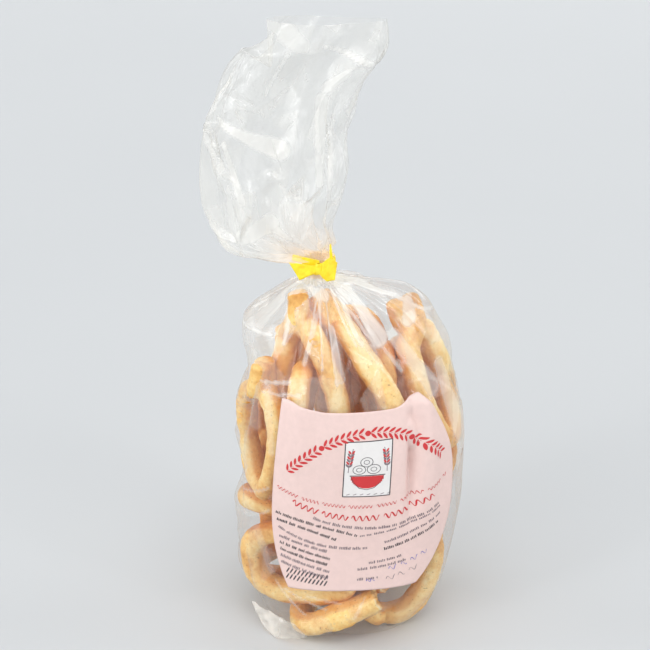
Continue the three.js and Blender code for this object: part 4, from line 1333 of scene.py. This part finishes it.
class Skin:
    """The film's body as a surface to lay things on, by arc to the right of the label and height."""

    def __init__(self, grid, places, angles):
        heights = section_at(places)["z"]
        rows = (heights > SKIN_LOW_Z) & (heights < SKIN_HIGH_Z)
        self.z = heights[rows]
        start = int(np.argmin(np.abs(from_label(angles))))
        self.grid = np.roll(grid[rows], BODY_COLUMNS // 2 - start, axis=1)
        self.normals = grid_normals(self.grid, True)
        for _ in range(SKIN_PASSES):
            self.normals = unit(four_beside(self.normals))
        plain = section_at(places[rows][:, None])
        angle = np.roll(angles, BODY_COLUMNS // 2 - start)[None]
        outline = direction(plain, angle) * reach(plain, angle)[..., None]
        steps = np.linalg.norm(np.diff(outline, axis=1), axis=-1)
        arc = np.cumsum(np.pad(steps, ((0, 0), (1, 0))), 1)
        offset = float(from_label(angle[0, BODY_COLUMNS // 2])) * SKIN_RADIUS
        self.arc = arc - arc[:, BODY_COLUMNS // 2:BODY_COLUMNS // 2 + 1] + offset

    def at(self, arc, z, lift):
        """Points at arcs and heights, a distance off the film."""
        arc, z = np.broadcast_arrays(np.asarray(arc, float), np.asarray(z, float))
        row = np.interp(z, self.z, np.arange(len(self.z)))
        j = np.clip(row.astype(int), 0, len(self.z) - 2)
        t = (row - j)[..., None]
        place = self._column(arc, j) * (1 - t) + self._column(arc, j + 1) * t
        normal = self._column(arc, j, True) * (1 - t) + self._column(arc, j + 1, True) * t
        return place + unit(normal) * np.asarray(lift)[..., None]

    def _column(self, arc, rows, normals=False):
        """Points or normals of whole rows, between the columns on both sides of each arc."""
        source = self.normals if normals else self.grid
        result = np.zeros(arc.shape + (3,))
        for j in np.unique(rows):
            here = rows == j
            column = np.interp(arc[here], self.arc[j], np.arange(BODY_COLUMNS))
            i = np.clip(column.astype(int), 0, BODY_COLUMNS - 2)
            t = (column - i)[..., None]
            result[here] = source[j, i] * (1 - t) + source[j, i + 1] * t
        return result


# Label

LABEL_LIFT = 0.5
PAPER_THICKNESS = 0.2
PAPER_STEP = 1.0
BAR_PITCH = 0.95  # of the small print's bars
INK_LIFT = 0.09
PRINT_HEIGHT = 1.28  # of the small print, against the heights in its rows


def label_reach(side, share):
    """How wide one side of the label is at a share of its half height."""
    edge = np.where(share > 0, side["top"], side["bottom"])
    return side["width"] * (edge + (1 - edge) * (1 - np.abs(share) ** LABEL_BOW))


def on_label(skin, s, t, lift):
    """Points of the label by millimetres to the right of its middle and above it."""
    lean, rise = math.radians(LABEL_LEAN), math.radians(LABEL_RISE)
    aside = s * math.cos(rise) + t * math.sin(lean)
    up = t * math.cos(lean) + s * math.sin(rise)
    return skin.at(aside, LABEL_MIDDLE_Z + up, lift)


def label_sheet(skin, material):
    """The label's paper, its upper corners a little raised."""
    across = np.linspace(-1, 1, int(2 * LABEL_RIGHT["width"] / PAPER_STEP) + 1)[None]
    share = np.linspace(-1, 1, int(2 * LABEL_HALF_HEIGHT / PAPER_STEP) + 1)[:, None]
    width = np.where(across < 0, label_reach(LABEL_LEFT, share), label_reach(LABEL_RIGHT, share))
    s = across * width
    corner = np.maximum(share, 0) ** 3 * smoothstep(np.abs(across), 0.45, 1)
    t = share * LABEL_HALF_HEIGHT + corner * LABEL_CORNER_RISE
    front = on_label(skin, s, t, LABEL_LIFT + 0 * s)
    back = on_label(skin, s, t, LABEL_LIFT - PAPER_THICKNESS + 0 * s)
    return closed_sheet("label_paper", front, back, material)


class Ink:
    """Shapes of one ink on the label, gathered as one mesh."""

    def __init__(self, skin, lift):
        self.skin = skin
        self.lift = lift
        self.points = []
        self.faces = []

    def stroke(self, line, widths, across=1, step=0.8):
        """A stroke along a line of (s, t) points, with a width at each."""
        line = np.asarray(line, float)
        widths = np.broadcast_to(np.asarray(widths, float), len(line))
        length = lengths_along(line)
        even = np.linspace(0, length[-1], max(int(length[-1] / step), 1) + 1)
        centre = spots_at(line, length, even)
        width = np.interp(even, length, widths)
        along = unit(np.gradient(centre, axis=0))
        side = np.stack([along[:, 1], -along[:, 0]], -1)
        spread = np.linspace(-0.5, 0.5, across + 1)
        spots = centre[:, None] + side[:, None] * (width[:, None] * spread[None])[..., None]
        lift = LABEL_LIFT + self.lift
        made = on_label(self.skin, spots[..., 0], spots[..., 1], lift + 0 * spots[..., 0])
        first = sum(len(p) for p in self.points)
        self.points.append(made.reshape(-1, 3))
        self.faces += list(grid_faces(len(centre), across + 1, False) + first)

    def blob(self, middle, length, width, angle, across=3):
        """A grain: pointed at both ends."""
        share = np.linspace(-1, 1, 9)
        way = np.array([math.cos(angle), math.sin(angle)])
        line = np.asarray(middle) + share[:, None] * way * length / 2
        self.stroke(line, width * (1 - share ** 2) ** 0.7 + 0.02, across, length / 9)

    def piece(self, name, material, slot):
        """The ink's shapes as one piece."""
        return mesh_piece(name, np.concatenate(self.points), self.faces, material)


def arc_line(left, top, right, count=40):
    """A curve through three (s, t) points, as a parabola."""
    s = np.linspace(left[0], right[0], count)
    fit = np.polyfit([left[0], top[0], right[0]], [left[1], top[1], right[1]], 2)
    return np.stack([s, np.polyval(fit, s)], -1)


def along_line(line, distances):
    """Spots and angles at distances along a line."""
    length = lengths_along(line)
    spots = spots_at(line, length, distances)
    step = spots_at(line, length, distances + 0.5) - spots
    return spots, np.arctan2(step[:, 1], step[:, 0])


BORDER = ((-43, 19), (-5, 43), (47, 21))  # the arch's left end, top and right end
GRAIN_PITCH = 3.3
GRAIN_SIZE = (4.6, 1.5)
GRAIN_ASIDE = 1.7
GRAIN_TURN = 0.75
BERRY_SIZE = (3.4, 3.2)
BERRY_EVERY = 8


def title_band(ink):
    """An arched border of wheat grains in pairs, where a title would stand, with berries between."""
    line = arc_line(*BORDER)
    total = lengths_along(line)[-1]
    steps = np.arange(1.5, total - 1, GRAIN_PITCH)
    spots, angles = along_line(line, steps)
    for k, (spot, angle) in enumerate(zip(spots, angles)):
        up = np.array([-math.sin(angle), math.cos(angle)])
        if k % BERRY_EVERY == BERRY_EVERY - 1:
            ink.blob(spot, *BERRY_SIZE, angle)
            continue
        for side in (1, -1):
            ink.blob(spot + side * up * GRAIN_ASIDE, *GRAIN_SIZE, angle + side * GRAIN_TURN)
        ink.stroke([spot - up * 0.1, spot + up * 0.1], 0.8)


def wave_line(ink, line, height, wavelength, width, seed, words):
    """A row of running waves in groups, where a line of script would stand."""
    rng = np.random.default_rng(seed)
    total = lengths_along(line)[-1]
    start = 0.0
    while start < total - 3:
        end = min(start + rng.uniform(*words), total)
        steps = np.arange(start, end, wavelength / 9)
        spots, angles = along_line(line, steps)
        up = np.stack([-np.sin(angles), np.cos(angles)], -1)
        swing = np.sin(2 * math.pi * (steps - start) / wavelength)
        path = spots + up * (swing * height / 2)[:, None]
        ink.stroke(path, width * (0.75 + 0.35 * np.cos(2 * math.pi * steps / wavelength)), step=0.25)
        start = end + rng.uniform(1.6, 2.4)


def dash_row(ink, line, height, seed, words=(2.2, 7.0), gap=1.1):
    """A row of short bars, where a line of small print would stand."""
    rng = np.random.default_rng(seed)
    total = lengths_along(line)[-1]
    start = 0.0
    while start < total - 1:
        end = min(start + rng.uniform(*words), total)
        for a in np.arange(start, end - 0.3, BAR_PITCH):
            spots, angles = along_line(line, np.array([a]))
            up = np.array([-math.sin(angles[0]), math.cos(angles[0])])
            tall = PRINT_HEIGHT * height * rng.uniform(0.62, 1.0)
            ink.stroke([spots[0], spots[0] + up * tall], rng.uniform(0.46, 0.68), step=0.6)
        start = end + gap


# The framed picture on the label, in the label's own millimetres
PICTURE_LEFT = -11.5
PICTURE_RIGHT = 14.0
PICTURE_LOW = 5.5
PICTURE_HIGH = 39.0
PICTURE_MIDDLE = (PICTURE_LEFT + PICTURE_RIGHT) / 2
BOWL_HALF_WIDTH = 9
BOWL_FILL_TOP = 12.7
BOWL_WALL = ((9, 13), (7.2, 8.7), (4, 5.3), (0, 4.3))  # its right half, from the rim down
PICTURE_RINGS = ((-4.6, 16.7, 3.4, 2.7), (3.2, 16.9, 3.6, 2.8), (-0.8, 21.3, 3.3, 2.8))
STEM = ((10.5, 15), (10.2, 21.5), (8.4, 29.5))


def in_picture(s, t):
    """A point of the label by millimetres from the middle of the picture's lower edge."""
    return PICTURE_MIDDLE + s, PICTURE_LOW + t


def picture_frame(inks):
    """The picture's white ground, its frame and a row of short strokes along its foot."""
    middle, wide = PICTURE_MIDDLE, PICTURE_RIGHT - PICTURE_LEFT
    inks["white"].stroke([(middle, PICTURE_LOW), (middle, PICTURE_HIGH)], wide, across=20, step=1.2)
    bottom = [(PICTURE_LEFT, PICTURE_LOW), (PICTURE_RIGHT, PICTURE_LOW)]
    top = [(PICTURE_RIGHT, PICTURE_HIGH), (PICTURE_LEFT, PICTURE_HIGH)]
    corners = [*bottom, *top, bottom[0]]
    for a, b in zip(corners, corners[1:]):
        inks["dark"].stroke([a, b], 0.55)
    for k in range(7):
        s = PICTURE_LEFT + 2.0 + 3.7 * k
        inks["grey"].stroke([(s, PICTURE_LOW + 1.0), (s + 1.8, PICTURE_LOW + 1.7)], 0.35)


def picture_bowl(inks):
    """A bowl, filled with upright strokes side by side, with three rings on it."""
    for s in np.linspace(-8.5, 8.5, 24):
        depth = 7.6 * math.sqrt(1 - (s / BOWL_HALF_WIDTH) ** 2)
        inks["red"].stroke([in_picture(s, BOWL_FILL_TOP), in_picture(s, BOWL_FILL_TOP - depth)], 0.74)
    inks["dark"].stroke([in_picture(-9.6, 13.1), in_picture(9.6, 13.1)], 0.5)
    wall = [in_picture(-s, t) for s, t in BOWL_WALL] + [in_picture(s, t) for s, t in BOWL_WALL[::-1]]
    inks["dark"].stroke(wall, 0.35, step=0.5)
    turn = np.linspace(0, 2 * math.pi, 25)
    for s, t, wide, tall in PICTURE_RINGS:
        for scale, width in ((1.0, 0.34), (0.45, 0.28)):
            ring = [in_picture(s + wide * scale * math.cos(a), t + tall * scale * math.sin(a)) for a in turn]
            inks["dark"].stroke(ring, width, step=0.4)


def wheat_ear(inks, side):
    """An ear of wheat on one side of the picture: a stem with six pairs of grains."""
    inks["grey"].stroke([in_picture(side * s, t) for s, t in STEM], 0.4)
    for k in range(6):
        s, t = in_picture(side * (10.3 - 0.22 * k), 19.5 + 1.6 * k)
        for lean in (-1, 1):
            inks["red" if k % 2 else "grey"].blob((s + lean, t), 2.6, 1.1, math.pi / 2 - lean * 0.6)


# Rows of bars where small print would stand: ink, left, middle and right of the row, height and seed
PRINT_ROWS = (
    ("grey", (-27, -9.5), (0, -15.5), (45, -7.5), 1.5, 1),
    ("dark", (-49, -9.0), (-24, -14.5), (-2, -20.5), 1.6, 2),
    ("grey", (0, -20.5), (22, -16.5), (47, -9.5), 1.1, 3),
    ("dark", (-48, -13.5), (-33, -16.5), (-14, -23), 1.6, 4),
    ("grey", (14, -25.5), (30, -20.5), (47, -14.5), 1.4, 5),
    ("grey", (-47, -18), (-18, -27.5), (5, -28.5), 1.5, 6),
    ("dark", (14, -30), (30, -25.5), (46, -19.5), 1.6, 7),
    ("grey", (6, -38.5), (14, -37.4), (24, -35.5), 1.4, 20),
    ("grey", (0, -42.5), (12, -41.2), (28, -38.4), 1.4, 21),
    ("grey", (0, -49.0), (6, -48.7), (12, -48.0), 1.4, 22),
)
BLOCK_ROWS = ("grey", "dark", "dark", "grey", "grey")  # inks of the rows at the lower left
BLOCK_PITCH = 4.1
HATCH_LEFT = -40.5
HATCH_PITCH = 2.2
HATCH_STROKES = 11

# Waves where script or pen strokes would stand: ink, left, middle and right, height, wavelength,
# width, seed and the shortest and longest group
WAVES = (
    ("red", (-49, 8), (2, -1.0), (50, 9), 1.9, 2.1, 0.4, 51, (9, 14)),
    ("red", (-39, 0.5), (0, -8.5), (41, 0.5), 3.2, 3.6, 0.8, 52, (12, 18)),
    ("blue", (17, -42.5), (28, -39.5), (43, -34.5), 2.6, 3.4, 0.42, 41, (3, 5)),
    ("blue", (5, -49.5), (9, -48.6), (14, -47.6), 1.8, 2.4, 0.5, 42, (3, 5)),
    ("grey", (16, -49), (24, -47), (36, -43.5), 2.8, 4.2, 0.32, 43, (4, 6)),
)


def small_print(inks):
    """Rows of bars and a hatched block in the lower half."""
    for ink, left, middle, right, height, seed in PRINT_ROWS:
        dash_row(inks[ink], arc_line(left, middle, right), height, seed)
    for k, ink in enumerate(BLOCK_ROWS):
        top = -24 - BLOCK_PITCH * k
        row = arc_line((-46 + 0.5 * k, top), (-32, top - 3.2), (-16, top - 7.6))
        dash_row(inks[ink], row, 1.6, 10 + k)
    for k in range(HATCH_STROKES):
        s = HATCH_LEFT + HATCH_PITCH * k
        base = -49.5 - 0.115 * (s - HATCH_LEFT)
        for rise in (0, 3.8):
            inks["dark"].stroke([(s, base + rise), (s + 1.5, base + rise + 3.0)], 0.75)


def label_print(skin):
    """All the print, one piece for each ink."""
    inks = {name: Ink(skin, INK_LIFT) for name in INK_COLOURS}
    inks["white"].lift = INK_LIFT / 2
    title_band(inks["red"])
    for ink, left, middle, right, *form in WAVES:
        wave_line(inks[ink], arc_line(left, middle, right), *form)
    picture_frame(inks)
    picture_bowl(inks)
    for side in (-1, 1):
        wheat_ear(inks, side)
    small_print(inks)
    slots = dict(red="print_red", white="print_white")
    for name, colour in INK_COLOURS.items():
        material = paper_material(f"print_{name}", colour)
        inks[name].piece(f"label_print_{name}", material, slots.get(name, "print_dark"))


# Tie

TAPE_THICKNESS = 0.22
BAND_RADIUS = 9.1
BAND_Z = (NECK_LOW_Z + NECK_HIGH_Z) / 2 + 1.5
BAND_HALF_WIDTH = 3.4
BAND_PLEATS = 17
BAND_LEAN = 0.9
KNOT_MIDDLE = (-18.5, -12.3, 219.0)
KNOT_REACH = (2.2, 1.7, 3.2)

# The tape's free parts: lower edge, upper edge, rows, columns, how creased and seed
TAILS = dict(
    tie_tail_left=(
        ((-17.6, -12.6, 217.2), (-21, -12.9, 216.4), (-25, -13.2, 214.4), (-28.7, -13.0, 212.6)),
        ((-17.6, -12.3, 220.6), (-22, -12.4, 221.0), (-28, -12.6, 222.0), (-34.5, -12.6, 222.9)),
        14, 34, 0.35, 3,
    ),
    tie_tail_right=(
        ((-18.6, -12.5, 217.0), (-16.4, -13.6, 214.4), (-13.8, -14.0, 212.2), (-9.6, -12.4, 212.4)),
        ((-18.4, -12.3, 221.0), (-15.5, -13.4, 223.8), (-12.6, -13.2, 226.2), (-8.2, -11.0, 222.0)),
        18, 34, 0.6, 7,
    ),
    tie_end=(
        ((-10.4, -7.0, 221.0), (-11.2, -6.4, 226.0), (-11.8, -6.0, 231.0)),
        ((-12.4, -7.0, 221.4), (-12.6, -6.2, 226.0), (-12.5, -6.0, 230.4)),
        5, 20, 0.2, 9,
    ),
    tie_tail_behind=(
        ((-18, -9.6, 218.6), (-24, -8.6, 219.6), (-33, -6.5, 221.4)),
        ((-18, -9.0, 222.4), (-24, -8.0, 223.6), (-32.5, -6.0, 224.6)),
        8, 26, 0.3, 12,
    ),
)


def between(low, high, rows, columns, crease, seed):
    """A crumpled sheet between two edges, each a list of (x, y, z) points."""
    edges = []
    for edge in (low, high):
        edge = np.asarray(edge, float)
        share = np.linspace(0, len(edge) - 1, columns)
        edges.append(np.stack([np.interp(share, np.arange(len(edge)), edge[:, k]) for k in range(3)], -1))
    t = np.linspace(0, 1, rows)[:, None, None]
    grid = edges[0][None] * (1 - t) + edges[1][None] * t
    grid[..., 1] += crease * (noise(grid, 3.5, seed) + 0.5 * noise(grid, 1.6, seed + 1))
    return grid


def tie_band():
    """The band round the neck, drawn into small pleats."""
    angle = np.linspace(0, 2 * math.pi, 121)[None]
    up = np.linspace(-1, 1, 13)[:, None]
    pleats = 0.28 * triangle_wave(angle * BAND_PLEATS / (2 * math.pi)) + 0.18 * np.sin(5 * angle)
    radius = BAND_RADIUS + pleats - 0.5 * up ** 2
    height = BAND_Z + BAND_HALF_WIDTH * up + BAND_LEAN * np.cos(angle)
    return np.stack([NECK_X + radius * np.cos(angle), radius * np.sin(angle), height], -1)


def tie_knot():
    """The knot in front of the band: a short upright barrel of wrapped tape."""
    turn = np.linspace(0, 2 * math.pi, 29)[::-1, None]
    share = np.linspace(-1, 1, 15)[None]
    puff = np.sqrt(np.maximum(1 - (0.82 * share) ** 2, 0.05))
    out = np.stack(np.broadcast_arrays(
        puff * np.cos(turn) * (1 + 0.12 * np.sin(5 * turn)), puff * np.sin(turn), share,
    ), -1)
    return KNOT_MIDDLE + out * KNOT_REACH


def tie(material):
    """The tape: a band round the neck, its tails and loose end, and the knot. The band is first."""
    grids = {"tie_band": tie_band()}
    grids.update({name: between(*tail) for name, tail in TAILS.items()})
    grids["tie_knot"] = tie_knot()
    return [sheet_piece(name, grid, material, TAPE_THICKNESS) for name, grid in grids.items()]


# The scene round the part

CAMERA_DISTANCE = 1147.8
CAMERA_HEIGHT = 710.3
AIM = (-15.1, 0.0, 179.8)
LENS = 126.6
SENSOR = 36.0
FLOOR_HALF = 4.0  # in metres, as the lights' places and sizes are
SKY_COLOUR = (0.96, 0.98, 1.0, 1)
SKY_STRENGTH = 0.36
LIGHT_AIM = (0, 0, 0.15)
BACK_AIM = (0, 1.4, 0)

# Lights: place, aim, width and height, and watts
LIGHTS = dict(
    softbox_key=((-2.4, -3.2, 1.9), LIGHT_AIM, (4.2, 3.2), 66),
    softbox_fill=((2.8, -3.0, 1.4), LIGHT_AIM, (2.6, 2.2), 20),
    softbox_left=((-3.4, 0.3, 1.2), LIGHT_AIM, (2.2, 1.9), 33),
    softbox_right=((3.3, 0.4, 1.2), LIGHT_AIM, (2.0, 1.9), 25),
    softbox_top=((0.2, -0.9, 4.0), LIGHT_AIM, (3.4, 3.4), 64),
    softbox_back=((0.2, 2.3, 0.9), BACK_AIM, (3.6, 0.6), 17),
    strip_high=((0.7, -1.7, 3.0), LIGHT_AIM, (1.5, 0.5), 14),
    strip_left=((-2.5, -2.2, 1.7), LIGHT_AIM, (0.5, 1.4), 14),
    strip_right=((2.5, -1.9, 1.5), LIGHT_AIM, (0.5, 1.4), 10),
)


def camera():
    """The camera at the photograph's viewing angle."""
    data = bpy.data.cameras.new("camera")
    data.lens = LENS
    data.sensor_width = SENSOR
    data.clip_start = 0.05
    piece = linked("camera", data)
    place = Vector((0.0, -CAMERA_DISTANCE, CAMERA_HEIGHT)) * MM
    piece.location = place
    piece.rotation_euler = (Vector(AIM) * MM - place).to_track_quat("-Z", "Y").to_euler()
    bpy.context.scene.camera = piece


def softbox(name, place, aim, size, power):
    """A flat light that looks at its aim."""
    data = bpy.data.lights.new(name, "AREA")
    data.shape = "RECTANGLE"
    data.size, data.size_y = size
    data.energy = power
    piece = linked(name, data)
    piece.location = place
    piece.rotation_euler = (Vector(aim) - Vector(place)).to_track_quat("-Z", "Y").to_euler()


def studio():
    """A pale floor, an even pale sky, softboxes all round and three narrower lights for glints."""
    half = FLOOR_HALF
    corners = [(-half, -half, 0), (half, -half, 0), (half, half, 0), (-half, half, 0)]
    mesh = bpy.data.meshes.new("floor")
    mesh.from_pydata(corners, [], [(0, 1, 2, 3)])
    mesh.materials.append(floor_material())
    linked("floor", mesh)
    world = bpy.data.worlds.new("sky")
    world.use_nodes = True
    world.node_tree.nodes["Background"].inputs["Color"].default_value = SKY_COLOUR
    world.node_tree.nodes["Background"].inputs["Strength"].default_value = SKY_STRENGTH
    bpy.context.scene.world = world
    for name, light in LIGHTS.items():
        softbox(name, *light)


def film_piece(name, grid, milky, material):
    """A piece of film from a grid whose columns close on themselves, with how milky each point is."""
    piece = mesh_piece(name, grid.reshape(-1, 3), grid_faces(*grid.shape[:2], True), material)
    set_values(piece, "haze_and_painted_glint", milky.ravel())
    return piece


def film(rings):
    """The three pieces of film. Gives the skin that the label lies on."""
    clear = film_material()
    body, places, angles, body_haze_and_glint = film_body(*rope_spheres(rings))
    base_veil = np.full((BASE_ROWS, BODY_COLUMNS), BODY_VEIL)
    whole = np.concatenate([base_rows(body[0]), body])
    filled = film_piece("film_body", whole, np.concatenate([base_veil, body_haze_and_glint]), clear)
    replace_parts(filled, "bag")
    above, flare_haze_and_glint = film_flare()
    flare = film_piece("film_flare", above, flare_haze_and_glint, clear)
    blush = 1 - smoothstep(above[..., 2], NECK_HIGH_Z, BLUSH_TO_Z)
    blush = BLUSH * blush * (1 - smoothstep(np.abs(above[..., 0] - BLUSH_X), *BLUSH_SPREAD))
    set_values(flare, "blush", blush.ravel())
    for sheet in (filled, flare, film_corner(clear)):
        sheet.visible_shadow = False
    return Skin(body, places, angles)


def main():
    """The camera, the studio and the bag, from its biscuits out to its tie."""
    camera()
    studio()
    rings = settle([lay_ring(k, ring) for k, ring in enumerate(RINGS)])
    crust = biscuit_material()
    for index, ring in enumerate(rings):
        biscuit(index, ring, rings, crust)
    skin = film(rings)
    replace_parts(label_sheet(skin, paper_material("label", PAPER_COLOUR)), "label")
    label_print(skin)
    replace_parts(tie(tape_material())[0], "tie")
    bpy.context.scene.view_settings.view_transform = "Standard"
    bpy.context.scene.cycles.transparent_max_bounces = 64


main()
